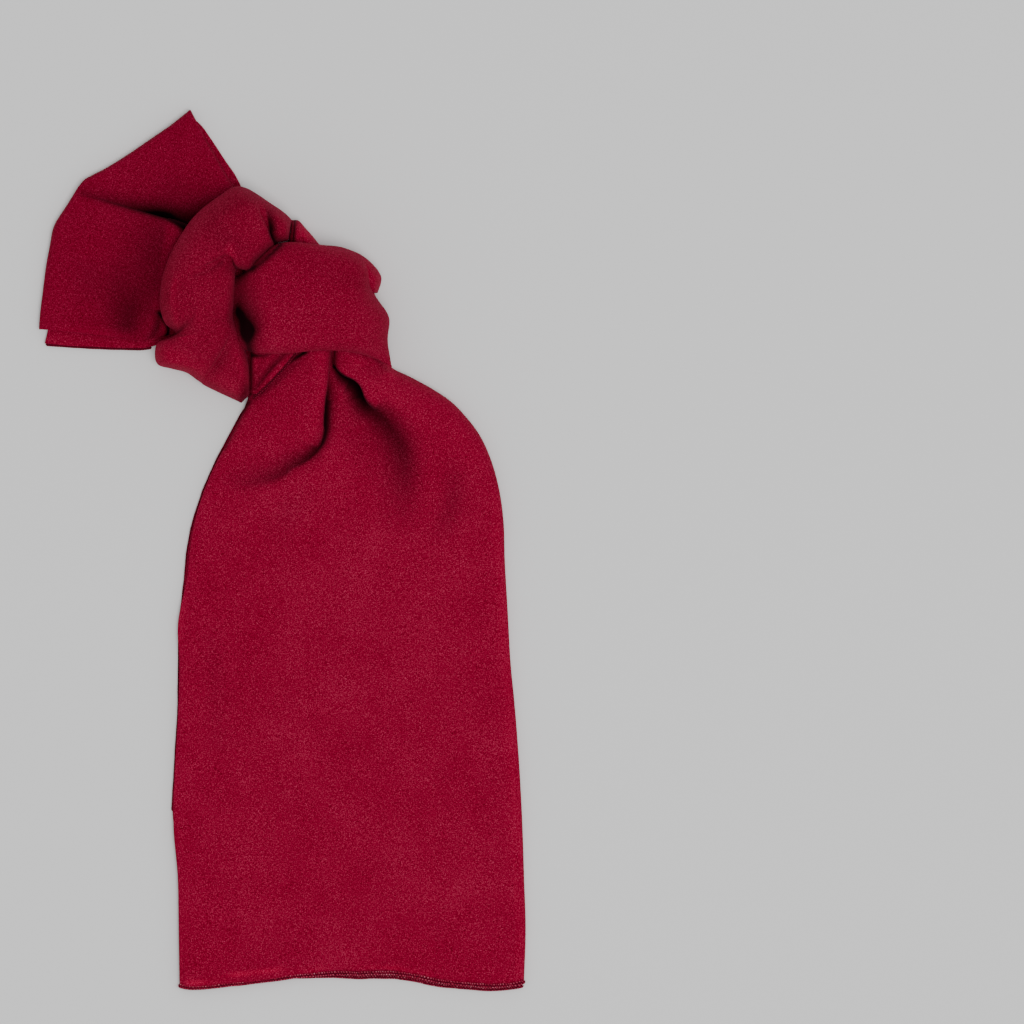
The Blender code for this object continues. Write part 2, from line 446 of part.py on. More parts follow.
def stretch(rows, nv, nu, folds=(), sides=(True, True), ends=(0.0, 0.0), rolled=3, foot=1, keep=()):
    """A stretch of cloth with its wall: an outer and an inner face joined along their rim.

    A rolled side starts at its widest point; a strip below it turns back under to the foot.
    """
    grid, feet = skin(rows, nv, nu, folds, sides, ends, rolled, foot, keep, 0.0)
    grid_in, feet_in = skin(rows, nv, nu, folds, sides, ends, rolled, foot, keep, CLOTH)
    n, m = grid.shape[:2]
    below = np.zeros((n, m), bool)
    index = np.arange(n * m).reshape(n, m)
    runs = []
    if sides[0]:
        below[:, 0] = True
        runs.append(index[:, 0])
    if ends[1]:
        below[-1] = True
        runs.append(index[-1])
    if sides[1]:
        below[:, -1] = True
        runs.append(index[::-1, -1])
    if ends[0]:
        below[0] = True
        runs.append(index[0, ::-1])
    number = np.full(n * m, -1)
    number[below.ravel()] = n * m + np.arange(below.sum())
    faces = np.stack([index[:-1, :-1], index[:-1, 1:], index[1:, 1:], index[1:, :-1]], -1).reshape(-1, 4)
    strips = [np.stack([k[:-1], k[1:], number[k[1:]], number[k[:-1]]], -1) for k in runs]
    faces = np.concatenate([faces, *strips])
    faces = np.concatenate([faces[:, (0, 1, 2)], faces[:, (0, 2, 3)]])
    outer = np.concatenate([grid.reshape(-1, 3), feet[below]])
    inner = np.concatenate([grid_in.reshape(-1, 3), feet_in[below]])
    # Rim: a face on each edge of the outer face that only one of its faces uses.
    edges = np.stack([faces, np.roll(faces, -1, axis=1)], -1).reshape(-1, 2)
    key = np.sort(edges, axis=1) @ (len(outer), 1)
    found, first, count = np.unique(key, return_index=True, return_counts=True)
    rim = edges[first[count == 1]]
    size = len(outer)
    rims = np.stack([rim[:, 1], rim[:, 0], rim[:, 0] + size, rim[:, 1] + size], -1)
    faces = faces.tolist() + (faces[:, ::-1] + size).tolist() + rims.tolist()
    return {"grid": grid, "points": np.concatenate([outer, inner]), "faces": faces}


def material(name, colour, roughness):
    made = bpy.data.materials.new(name)
    made.use_nodes = True
    shader = made.node_tree.nodes["Principled BSDF"]
    shader.inputs["Base Color"].default_value = (*colour, 1.0)
    shader.inputs["Roughness"].default_value = roughness
    return made


def add(name, points, faces, collection, mat):
    mesh = bpy.data.meshes.new(name)
    mesh.from_pydata((np.asarray(points).reshape(-1, 3) * MM).tolist(), [], faces)
    mesh.polygons.foreach_set("use_smooth", [True] * len(mesh.polygons))
    mesh.materials.append(mat)
    mesh.validate()
    made = bpy.data.objects.new(name, mesh)
    collection.objects.link(made)
    return made


def wall(name, shape, collection, mat):
    """A stretch of cloth as one closed body."""
    made = add(name, shape["points"], shape["faces"], collection, mat)
    outwards(made)
    return made


def roof_over(objects):
    """Reads the lowest underside of these objects above points of the plan."""
    bpy.context.view_layer.update()
    graph = bpy.context.evaluated_depsgraph_get()
    trees = [BVHTree.FromObject(o, graph) for o in objects]

    def read(x, y):
        start, up = Vector((x * MM, y * MM, -MM)), Vector((0, 0, 1))
        hits = [tree.ray_cast(start, up)[0] for tree in trees]
        return min([h.z / MM for h in hits if h is not None], default=np.inf)

    return np.vectorize(read, otypes=[float])


def section_points(rows, nv, nt):
    """Plan points of a hidden body, with its own greatest height at each."""
    c = dict(zip(UNDER_COLUMNS, blend(rows, np.linspace(0, 1, nv)).T[:, :, None]))
    u = (1 - np.cos(np.linspace(0, np.pi, nt)))[None, :] / 2
    x = c["ax"] + (c["bx"] - c["ax"]) * u
    y = c["ay"] + (c["by"] - c["ay"]) * u
    width = np.hypot(c["bx"] - c["ax"], c["by"] - c["ay"])
    from_a = c["za"] + RISE * np.maximum(u * width - c["ma"], 0)
    from_b = c["zb"] + RISE * np.maximum((1 - u) * width - c["mb"], 0)
    return x, y, np.minimum(np.minimum(from_a, from_b), c["most"])


def filler(name, rows, nv, nt, roof, collection, mat, end=None, least=1.4, fine=8):
    """A hidden body: sections with a flat bottom, a top just under the roof and layered sides.

    The roof is read on a grid several times finer, and each point's height is the least
    within the cells around it, so no cell of the body reaches the roof.
    """
    x, y, own = section_points(rows, fine * (nv - 1) + 1, fine * (nt - 1) + 1)
    if end is not None:
        x, y = end(x, y)
    room = np.minimum(own, roof(x, y) - GAP)
    for axis in (0, 1):
        padded = np.pad(room, [(fine, fine) if k == axis else (0, 0) for k in (0, 1)], mode="edge")
        size = room.shape[axis]
        parts = [np.take(padded, np.arange(size) + k, axis=axis) for k in range(2 * fine + 1)]
        room = np.minimum.reduce(parts)
    x, y, z = x[::fine, ::fine], y[::fine, ::fine], np.maximum(room[::fine, ::fine], least)
    rings = []
    steps = np.arange(1, 2 * LAYERS) / (2 * LAYERS)
    push = np.where(np.arange(1, 2 * LAYERS) % 2, LAYER_STEP, 0.15 * LAYER_STEP)
    for j in range(nv):
        top = np.stack([x[j], y[j], z[j]], axis=1)
        floor = top * (1, 1, 0)
        away = (floor[0] - floor[-1]) / np.linalg.norm(floor[0] - floor[-1])
        left = floor[0] + away * push[:, None] + np.outer(steps, (0, 0, z[j, 0]))
        right = floor[-1] - away * push[:, None] + np.outer(steps, (0, 0, z[j, -1]))
        rings.append(np.concatenate([left, top, right[::-1], floor[::-1]]))
    n, m = len(rings[0]), len(push)
    faces = []
    for j in range(nv - 1):
        for i in range(n):
            k = (i + 1) % n
            faces.append((j * n + i, j * n + k, (j + 1) * n + k, (j + 1) * n + i))
    for j, turn in ((0, False), (nv - 1, True)):
        tops = [j * n + m + i for i in range(nt)]
        floors = [j * n + n - 1 - i for i in range(nt)]
        caps = [(tops[i], floors[i], floors[i + 1], tops[i + 1]) for i in range(nt - 1)]
        caps.append((tops[0], *[j * n + i for i in reversed(range(m))], floors[0]))
        caps.append((floors[-1], *[j * n + m + nt + i for i in reversed(range(m))], tops[-1]))
        faces += [tuple(reversed(c)) if turn else c for c in caps]
    made = add(name, np.array(rings), faces, collection, mat)
    outwards(made)
    return made


def outwards(made):
    """Turns the faces out if the body is inside out, by the sign of its volume."""
    mesh = made.data
    mesh.calc_loop_triangles()
    p = np.array([v.co[:] for v in mesh.vertices])
    t = np.array([list(f.vertices) for f in mesh.loop_triangles])
    volume = (p[t[:, 0]] * np.cross(p[t[:, 1]], p[t[:, 2]])).sum()
    if volume < 0:
        mesh.flip_normals()


def lump(name, shape, collection, mat):
    """A small closed body: a rounded top over a flat bottom of the same outline."""
    grid = shape["grid"]
    nv, nu = grid.shape[:2]
    low = grid * (1, 1, 0)
    index = np.arange(nv * nu).reshape(nv, nu)
    faces = np.stack([index[:-1, :-1], index[:-1, 1:], index[1:, 1:], index[1:, :-1]], -1).reshape(-1, 4)
    rim = np.concatenate([index[0], index[1:, -1], index[-1, -2::-1], index[-2:0:-1, 0]])
    after = np.roll(rim, -1)
    sides = np.stack([after, rim, rim + nv * nu, after + nv * nu], -1)
    faces = np.concatenate([faces, faces[:, ::-1] + nv * nu, sides]).tolist()
    made = add(name, np.concatenate([grid.reshape(-1, 3), low.reshape(-1, 3)]), faces, collection, mat)
    outwards(made)
    return made


def cord(name, points, collection, mat, radius=BEAD):
    """An overlocked hem edge: a round bead along a line."""
    curve = bpy.data.curves.new(name, "CURVE")
    curve.dimensions = "3D"
    curve.bevel_depth = radius * MM
    curve.bevel_resolution = 1
    curve.use_fill_caps = True
    spline = curve.splines.new("POLY")
    spline.points.add(len(points) - 1)
    for point, p in zip(spline.points, points):
        point.co = (*(p * MM).tolist(), 1.0)
    curve.materials.append(mat)
    made = bpy.data.objects.new(name, curve)
    collection.objects.link(made)
    return made


def offset_line(points, by):
    """A line in the plan moved to its left."""
    d = np.gradient(points[:, :2], axis=0)
    d /= np.linalg.norm(d, axis=1)[:, None]
    return points[:, :2] + by * np.stack([-d[:, 1], d[:, 0]], axis=1)


for old in list(bpy.data.objects):
    bpy.data.objects.remove(old)
scarf = bpy.data.collections.new("scarf")
bpy.context.scene.collection.children.link(scarf)
crepe = material("crepe", (0.20, 0.005, 0.02), 0.85)
crepe_under = material("crepe_under", (0.16, 0.004, 0.016), 0.85)
thread = material("hem_thread", (0.13, 0.004, 0.014), 0.7)

hem = np.array(HEM)


def hem_shift(points, last, column, inset, start=-200.0):
    """How far points near the long tail's end move so that its last row lies on a hem line."""
    order = np.argsort(last[:, 0])
    wanted = np.interp(points[..., 0], hem[:, 0], hem[:, column]) + inset
    now = np.interp(points[..., 0], last[order, 0], last[order, 1])
    return np.clip((start - points[..., 1]) / (start - now), 0, 1) * (wanted - now)


def under_hem(x, y):
    points = np.stack([x, y], axis=-1)
    return x, y + hem_shift(points, points[-1], 2, 2 * BEAD + 1.4)


# The stretches of cloth that show.
long_shape = stretch(LONG, 26, 17, LONG_FOLDS)
rows_of = long_shape["points"]
rows_of[:, 1] += hem_shift(rows_of, long_shape["grid"][-1], 1, 2 * BEAD + 0.6)
long_top = wall("long_tail_top", long_shape, scarf, crepe)
inner_shape = stretch(INNER, 8, 7, sides=(True, False), rolled=2)
inner_wall = wall("long_tail_inner", inner_shape, scarf, crepe)
short_shape = stretch(SHORT, 22, 18, SHORT_FOLDS, sides=(True, False), ends=(0, 3.5), rolled=2, keep=(6,))
short_top = wall("short_tail_top", short_shape, scarf, crepe)
loop_shape = stretch(LOOP, 38, 11, LOOP_FOLDS, ends=(3.0, 3.0))
loop = wall("knot_loop", loop_shape, scarf, crepe)
wrap_shape = stretch(WRAP, 16, 12, ends=(16.0, 15.0), rolled=4, foot=3)
wrap = wall("knot_wrap", wrap_shape, scarf, crepe)
tuck_shape = stretch(TUCK, 6, 6, sides=(True, False), ends=(2.5, 2.5), rolled=2)
tuck = lump("knot_tuck", tuck_shape, scarf, crepe)
lip_shape = stretch(RETURN, 7, 4, ends=(1.0, 0.3), rolled=2)
lip = lump("knot_return", lip_shape, scarf, crepe)

# The layers that are hidden under them.
roof = roof_over([long_top, inner_wall, wrap, loop])
filler("long_tail_under", LONG_UNDER, 25, 10, roof, scarf, crepe_under, end=under_hem)
roof = roof_over([short_top, loop])
filler("short_tail_under", SHORT_UNDER, 16, 9, roof, scarf, crepe_under)
roof = roof_over([loop, wrap, short_top])
filler("knot_loop_core", LOOP_CORE, 17, 6, roof, scarf, crepe_under)
roof = roof_over([loop, wrap, inner_wall])
filler("knot_wrap_core", WRAP_CORE, 13, 7, roof, scarf, crepe_under)

# The overlocked hems.
x = np.linspace(hem[0, 0], hem[-1, 0], 34)
for name, column, height in (("long_tail_end_hem", 1, 5.1), ("long_tail_end_hem_under", 2, 1.9)):
    line = np.stack([x, np.interp(x, hem[:, 0], hem[:, column]) + BEAD, np.full_like(x, height)], axis=1)
    cord(name, line, scarf, thread)
cord("long_tail_side_hem", np.array(SIDE_HEM), scarf, thread)
cord("short_tail_hem", np.array(SHORT_HEM), scarf, thread)
inner_edge = inner_shape["grid"][:, -1]
line = offset_line(inner_edge, BEAD + 0.35)
cord("long_tail_inner_hem", np.column_stack([line, inner_edge[:, 2] - CLOTH / 2]), scarf, thread)
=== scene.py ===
"""A dark red crepe scarf, folded end to end and in thirds, tied once in a loose knot, lying flat.

Plan sizes are in millimetres, +Y towards the knot, heights above the surface it lies on. Every
stretch of cloth is a surface of two parameters, v along it and u across it: a straight ruling
joins its two edge lines at v, an arch raises its middle, its sides roll over in quarter
ellipses, and creases lower it by depth * exp(-(distance / width) ** softness).
"""

import bpy
import numpy as np
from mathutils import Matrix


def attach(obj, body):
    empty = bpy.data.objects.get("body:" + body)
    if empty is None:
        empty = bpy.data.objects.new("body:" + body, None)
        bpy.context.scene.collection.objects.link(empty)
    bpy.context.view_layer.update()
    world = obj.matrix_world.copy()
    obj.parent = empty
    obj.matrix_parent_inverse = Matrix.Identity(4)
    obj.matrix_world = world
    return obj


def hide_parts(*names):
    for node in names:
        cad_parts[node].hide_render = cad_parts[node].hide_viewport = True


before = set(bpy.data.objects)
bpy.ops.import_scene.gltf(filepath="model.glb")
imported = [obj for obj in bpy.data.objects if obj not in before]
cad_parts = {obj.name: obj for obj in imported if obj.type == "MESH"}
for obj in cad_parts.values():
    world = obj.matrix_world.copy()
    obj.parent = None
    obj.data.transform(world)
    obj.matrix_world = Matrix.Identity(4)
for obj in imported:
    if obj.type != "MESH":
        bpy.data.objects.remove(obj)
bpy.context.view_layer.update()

MM = 0.001
CLOTH = 0.9  # thickness of a stretch of cloth
LEAST_ROLL = 1.4 * CLOTH  # a rolled side is at least this wide
MOST_ROLL = 0.45  # and at most this share of the stretch's width
LEAST_DEPTH = 2.6 * CLOTH  # the least height of a stretch above its foot
BELLY = 0.42  # height of a rolled side's widest point, as a share of its height
TURN = 0.35  # how far a rolled side turns back under, as a share of its roll
MOST_TURN = 2.5  # and the most it turns under
FOLDED_BACK = 3  # how far in that turn fades out, in turns
UNDER_STEP = 0.9  # how far the weave goes on with each row of points under an edge
GAP = 0.5  # clear room between cloth and the layers under it
RISE = 1.2  # how steeply hidden layers may rise from their edges
LEAST_LAYERS = 1.4  # the least height of hidden layers
LAYER_HEIGHT = 1.3  # height of a layer at their sides, where they have their whole relief
LAYER_OUT, LAYER_IN = 0.75, 0.25  # relief of a layer there, and how far in the seams between lie
PITCH = 1.75  # length of a stitch along the hem
# Waves along a hem, each with its height, its length and its start: of where its stitches lie,
# and of its radius.
STITCH_DRIFT = ((0.6, 3.1, 0), (0.4, 1.37, 2.0), (0.5, 11.0, 0))
HEM_WOBBLE = ((0.06, 5.3, 1.0), (0.04, 2.1, 0))
CELL = 1.5  # side of a cell of the roof map
CELLS_X, CELLS_Y = 260, 420  # how many cells it has
ROOF_X, ROOF_Y = -180.0, -310.0  # its corner
LINE_STEPS = 17  # points along each line of a crease table
FOLD_REACH = 3.2  # how far a crease is worked out, in widths
LIP_REACH = 2.6  # and a lip, in reaches
EYE_HEIGHT = 8  # height of the camera, in metres
EYE_SPAN = 0.67584  # what the picture spans on the surface: 1024 pixels of 0.66 mm

# Columns of a stretch: its two edges a and b, how far its middle is pushed along it, heights at
# edge a's shoulder, the middle and edge b's shoulder, widths of the rolled sides, heights where
# the rolled sides end.
COLUMNS = ("ax", "ay", "bx", "by", "bow", "za", "zm", "zb", "ra", "rb", "fa", "fb")
# Columns of the hidden layers: two edges, heights there, how far in they stay flat, most height.
UNDER_COLUMNS = ("ax", "ay", "bx", "by", "za", "zb", "ma", "mb", "most")
# Columns of a crease: start, middle and end of its line, depths there (less than nothing is a
# ridge), widths on its left at both ends, widths on its right at both ends, and softness. The
# painted shade and light have the same columns, with amounts in place of depths: less than
# nothing is painted shade deep in a fold, and more is painted light where the cloth would catch
# more of it.
FOLD_COLUMNS = (
    "x0", "y0", "x1", "y1", "x2", "y2", "d0", "d1", "d2", "l0", "l1", "r0", "r1", "soft")
# Columns of a lip, cloth pushed over a crease: its line, how far it is pushed at its start,
# middle and end (more than nothing is the cloth on its left), where that is reached, and where
# it has faded.
LIP_COLUMNS = ("x0", "y0", "x1", "y1", "x2", "y2", "o0", "o1", "o2", "rise", "reach")
# Broad unevenness of cloth that lies: height, length of the wave, its direction, where it starts.
WAVES = (
    (0.34, 148, 0.35, 0.4),
    (0.26, 93, 1.25, 2.1),
    (0.20, 61, 2.35, 4.0),
    (0.12, 37, 0.85, 1.2),
    (0.07, 23, 1.95, 5.2),
    (0.045, 15, 0.15, 3.0),
)

# Long tail, knot to hem: its two side edges (a left, b right).
LONG = (
    (20.4, 143, 60.6, 141, 0, 22, 27.5, 12, 7, 8, 14, 1),
    (9.2, 132.4, 65.3, 131.1, 0, 23, 28.5, 11, 7, 8, 15, 0),
    (-1.4, 122.2, 71.9, 121.2, 0, 17.5, 28.5, 11, 7, 8, 10, 0),
    (-12, 111.9, 84.4, 114.7, 0, 12, 28, 13, 7, 9, 6, 0),
    (-21.2, 102, 98.3, 107.2, 0, 9, 27, 15, 6, 10, 4.4, 0),
    (-25.8, 91.5, 110.5, 99.1, 0, 10, 26, 16, 6, 11, 4.4, 0),
    (-32.7, 76.3, 121.4, 88.2, 0, 10.5, 24, 15.5, 6, 11, 4.4, 0),
    (-42.8, 59.1, 131.3, 74.6, 0, 9.5, 21.5, 14.5, 5, 10, 4.4, 0),
    (-49.9, 43.3, 137.9, 59.8, 0, 8.5, 19, 13, 5, 9, 4.4, 0),
    (-55.5, 26.8, 143.1, 41.3, 0, 8, 16.5, 11.5, 4.5, 8, 4.4, 0),
    (-59.8, 7, 146.1, 20.2, 0, 7.6, 14, 10.5, 4.5, 7, 4.4, 0),
    (-62.8, -18.1, 147, -6.2, 0, 7.4, 12, 9.5, 4, 6, 4.4, 0),
    (-68.7, -49.1, 149, -41, 0, 7.2, 10.5, 8.8, 4, 5.5, 4.4, 0),
    (-67.7, -74.2, 150.7, -72.2, 0, 7, 9.5, 8.2, 4, 5, 4.4, 0),
    (-68.5, -106.5, 153.6, -102.6, 0, 6.8, 8.8, 7.8, 4, 5, 4.4, 0),
    (-70.7, -144.8, 156.5, -140.8, 0, 6.6, 8, 7.2, 4, 5, 4.4, 0),
    (-71.6, -181.1, 158.5, -177.8, 0, 6.4, 7.4, 6.7, 3.5, 4, 4.4, 0),
    (-68.7, -216.7, 159.8, -217.4, 0, 6.2, 6.8, 6.2, 3.5, 4, 4.4, 0),
    (-68.1, -253.7, 160.8, -250.4, 0, 6, 6.2, 5.9, 3, 4, 4.4, 0),
    (-67.6, -284.1, 159.7, -282.7, 0, 5.8, 5.8, 5.7, 3, 3, 4.2, 0),
)
# The inner stretch beside the knot: a is its fold, b its hemmed edge.
INNER = (
    (-19.9, 138.3, 15.8, 138.3, 0, 24, 26, 27, 3, 0, 12, 0),
    (-20.2, 131.1, 9.5, 130.7, 0, 23, 26.5, 28, 3, 0, 11, 0),
    (-20.2, 123.2, 3.2, 122.8, 0, 19, 23, 24.5, 3, 0, 9, 0),
    (-20.2, 115.2, -4, 114.9, 0, 15, 19, 20.5, 3, 0, 7, 0),
    (-20.2, 108.6, -10.6, 108.3, 0, 12.6, 14.8, 16.5, 2.5, 0, 7.6, 0),
    (-20.2, 103.6, -16.2, 103.3, 0, 13.4, 13.9, 14.6, 1.5, 0, 10.2, 0),
)
# Short tail, knot to fold: a is its upper edge, b its lower edge.
SHORT = (
    (-25.8, 227.4, -67.4, 143, 0, 15.2, 18.5, 7.5, 4, 3, 4.4, 4.4),
    (-30.4, 236.7, -74, 142, 0, 13.7, 18.5, 7, 4, 3, 4.4, 4.4),
    (-35.7, 245.9, -80.6, 140.8, 0, 11.7, 18.5, 6.8, 4, 3, 4.4, 4.4),
    (-43.6, 260.1, -86.5, 139.9, 0, 9.7, 18, 6.4, 3.5, 3, 4.4, 4.4),
    (-52.9, 276.3, -91.5, 138.3, 0, 8.2, 17, 6.2, 3, 3, 4.4, 4.4),
    (-58.8, 287.8, -94.1, 138.2, 0, 7.6, 16.5, 6.2, 3, 3, 4, 4.4),
    (-60.5, 290.7, -96.4, 138.6, 0, 8.8, 16.3, 6.2, 3, 3, 3, 4.4),
    (-63.1, 288.8, -99.1, 139, 0, 9, 16, 6.2, 3, 3, 1.5, 4.4),
    (-75.1, 279.6, -105.7, 140.1, 0, 9.6, 15.5, 6.2, 3, 3, 0, 4.4),
    (-86.5, 271.7, -113.6, 141.2, -0.6, 10, 15, 6.2, 3.5, 3, 0, 4.4),
    (-97.8, 263.9, -122.2, 142.3, -1.2, 10.2, 14.2, 6.2, 3.5, 3, 0, 4.4),
    (-108.3, 257.1, -130.8, 143.4, -2, 10.2, 13.3, 6.2, 3.5, 3, 0, 4.4),
    (-116.9, 251.9, -139.3, 144.3, -3, 10.2, 12.3, 6.2, 3.5, 3, 0, 4.4),
    (-124.8, 247.9, -147.9, 145, -4.2, 10, 11.2, 6.2, 3.5, 3, 0, 4.4),
    (-130.8, 244.3, -155.2, 145.6, -5.8, 9.6, 10, 6.2, 3.5, 3, 0, 4.4),
    (-134.5, 239.9, -160.7, 145.9, -7.6, 8.8, 8.8, 6.2, 3.5, 3, 0, 4.4),
)
# Loop, from the wrap round the left to its lower end: a outer edge, b inner edge.
LOOP = (
    (6.7, 217.9, 4.7, 204.3, 0, 30, 36, 33, 6, 5, 0, 16),
    (3.2, 221.5, 1.6, 203.5, 0, 33, 40, 36, 8, 5, 0, 16),
    (-2.1, 225.5, -2.4, 202.4, 0, 36, 44, 39, 9, 5, 0, 16),
    (-8, 229.4, -7.3, 199.4, 0, 38, 46.5, 41, 10, 6, 0, 16),
    (-15.3, 234.4, -12.3, 195.4, 0, 39, 48.5, 43, 11, 7, 0, 16),
    (-23.8, 239, -16.6, 191.1, 0, 39.5, 50, 44, 12, 7, 8, 16),
    (-31.8, 239.3, -21.2, 185.9, 0, 39.5, 51, 44, 12, 7, 15.2, 16),
    (-40.3, 233.7, -25.8, 184.9, 0, 40, 51.5, 43, 13, 4.5, 18.7, 16),
    (-49.6, 227.1, -28.8, 185.2, 0, 40.5, 52, 42, 13, 4.5, 20.7, 16),
    (-58.2, 218.9, -30.1, 183.2, 0, 40.5, 52, 41, 13, 4.5, 21.2, 16),
    (-66.1, 207.6, -30.4, 179.9, 0, 40, 51.5, 40.5, 13, 4.5, 21.2, 16),
    (-72.7, 195.8, -30.7, 176, 0, 39.5, 51, 40, 13, 4.5, 20.7, 16),
    (-77.6, 182.6, -31, 171.3, 0, 39, 50, 39, 13, 4.5, 19.7, 16),
    (-79.9, 170, -31.2, 166.1, 0, 38, 49, 38, 12, 4.5, 17.2, 16),
    (-79.7, 158.8, -31.6, 160.1, 0, 36, 48, 37, 11, 4.5, 14.2, 15),
    (-76.3, 149.2, -32, 155.2, 0, 32, 47, 36, 8, 4.5, 11.8, 14),
    (-70, 143.3, -31.4, 151.2, 0, 26, 46, 35, 5, 4.5, 9.4, 13),
    (-74, 140.3, -30.2, 147.9, 0, 22, 45, 34.5, 5, 4.5, 7, 12),
    (-81.6, 137.3, -28.8, 144.6, 0, 22, 43.5, 34, 6, 4.5, 6, 11),
    (-83.6, 131.1, -27.1, 140.6, 0, 24, 42, 33, 8, 7, 2, 9),
    (-81.9, 122.8, -25.2, 135.7, 0, 25, 40, 32, 9, 7, 0, 7),
    (-72.7, 119.9, -23.5, 131.1, 0, 25, 37.5, 31, 9, 7, 0, 5),
    (-62.8, 117.2, -22.2, 125.5, 0, 24, 35, 29, 9, 6, 0, 4),
    (-52.9, 110, -21.6, 118.5, 0, 22, 31, 27, 8, 6, 0, 3),
    (-41.7, 104.3, -21.5, 111.3, 0, 18, 26, 23, 7, 5, 0, 2),
    (-30.4, 99.1, -21.5, 105.3, 0, 13, 18, 17, 5, 4, 0, 1),
    (-26.8, 97.4, -21.7, 102.4, 0, 11, 14, 13, 3.5, 3, 0, 0.5),
)
# Wrap, left to right: a is its upper edge, b its lower edge.
WRAP = (
    (-35.1, 177.9, -33.7, 135, 0, 21, 25, 22, 8, 6, 10, 12),
    (-30.4, 179.9, -28.5, 133.4, 0, 25, 30, 27, 8, 6, 11, 15),
    (-25.8, 182.9, -22.8, 131.6, 0, 31, 36.5, 33.5, 8, 6, 12, 20),
    (-21.9, 186.9, -17.6, 130.4, 0, 37.5, 42.5, 39, 8, 6, 14, 26),
    (-16.3, 191.7, -11.3, 129.8, 0, 42, 47.5, 42.5, 9, 6, 16, 29),
    (-9.7, 197.6, -3.4, 129.4, 0, 43.5, 50, 44.5, 10, 6, 18, 30),
    (-0.7, 202.2, 7.2, 129.8, 0, 44.5, 51.5, 45.5, 11, 7, 26, 31),
    (9.2, 202.9, 17.1, 130.9, 0, 45, 52, 46, 12, 7, 29, 32),
    (19.1, 201.9, 26.3, 131.5, 0, 45, 52, 46, 12, 7, 28, 32),
    (29, 201, 36.2, 131.4, 0, 44, 51.5, 45.5, 12, 7, 14, 31.5),
    (38.2, 200.2, 45.5, 130.5, 0, 42, 50.5, 44.5, 12, 7, 3, 29),
    (45.1, 198, 55, 128.6, 0, 40, 48.5, 42.5, 12, 7, 1, 24),
    (50.1, 195.6, 63.9, 125.1, 0, 37, 43.5, 33, 12, 7, 0, 18),
    (53.1, 193.1, 72.3, 120.5, 0, 32, 38, 26, 9, 7, 0, 14),
)
# The end of the loop that goes under the wrap: a outer edge, b hidden edge.
TUCK = (
    (6.5, 217.8, 4.7, 203, 0, 20, 25, 24, 6, 0, 0, 12),
    (10.8, 217.7, 9.8, 200.4, 0, 21, 26.5, 25.5, 8, 0, 0, 12),
    (15.1, 213.2, 14.4, 198.4, 0, 20, 25.5, 25, 8, 0, 0, 12),
    (20.1, 207.6, 19.1, 197.1, 0, 17, 22.5, 23, 7, 0, 0, 10),
    (25.7, 200.7, 23.7, 195.8, 0, 10, 14, 15, 4, 0, 0, 6),
)
# The cloth coming back at the wrap's right: a inner edge, b outer edge.
RETURN = (
    (44.8, 190.5, 51.7, 195.4, 0, 24, 27, 22, 1.5, 3, 0, 0),
    (46.8, 187.2, 56.4, 192.1, 0, 27, 31, 25, 1.5, 5, 0, 0),
    (48.1, 183.9, 60.2, 188.6, 0, 28, 32, 26, 1.5, 6, 0, 0),
    (49.4, 180.6, 63.8, 184.2, 0, 28, 32, 26, 1.5, 6, 0, 0),
    (50.7, 177.3, 65.7, 180, 0, 28, 32, 26, 1.5, 6, 0, 0),
    (52.1, 174, 65.2, 175.6, 0, 26, 30, 24, 1.5, 5, 0, 0),
    (54.7, 171.3, 64.1, 172.5, 0, 24, 27, 22, 1, 3, 0, 0),
    (57.3, 169.4, 63.1, 170, 0, 20, 23, 18, 0.5, 2, 0, 0),
)
# Layers under the long tail: two edges and their heights.
LONG_UNDER = (
    (-23.5, 137.7, 55.4, 139, 10, 6, 0, 0, 60),
    (-23.5, 129.8, 58.7, 129.8, 8, 6, 0, 0, 60),
    (-23.5, 119.2, 64.6, 120.5, 5, 6, 0, 0, 60),
    (-23.5, 108.6, 75.8, 111.9, 3.4, 6, 0, 0, 60),
    (-22.2, 96.8, 90.3, 103.4, 3.4, 6, 2, 0, 60),
    (-28.9, 84.9, 104.2, 92.8, 3.4, 6, 4, 0, 60),
    (-37.4, 69, 116.1, 80.9, 3.4, 6, 4, 0, 60),
    (-46.8, 49.9, 125.3, 67.7, 3.4, 6, 4, 0, 60),
    (-54.4, 30.1, 133.2, 49.9, 3.4, 5, 4, 0, 60),
    (-59.8, 10.3, 137.9, 28.1, 3.4, 4.5, 4, 0, 60),
    (-62.6, -9.5, 140.5, 1.7, 3.4, 4, 4, 0, 60),
    (-64.6, -29.3, 141.8, -26, 3.4, 4, 4, 0, 60),
    (-67, -51.1, 143.8, -45.8, 3.4, 4, 4, 0, 60),
    (-67.3, -75.5, 145.1, -75.5, 3.4, 3.6, 4, 0, 60),
    (-67.9, -108.5, 147.8, -105.2, 3.4, 3.6, 4, 0, 60),
    (-70, -144.8, 150.4, -142.2, 3.4, 3.4, 4, 0, 60),
    (-71.8, -172.5, 152.4, -177.8, 3.4, 3.2, 4, 0, 60),
    (-67.1, -207.5, 153.7, -217.4, 3.4, 3, 4, 0, 60),
    (-66.4, -250.4, 154, -250.4, 3.4, 3, 4, 0, 4),
    (-66.1, -279.4, 154.7, -280.8, 3.2, 3.2, 4, 0, 3.2),
)
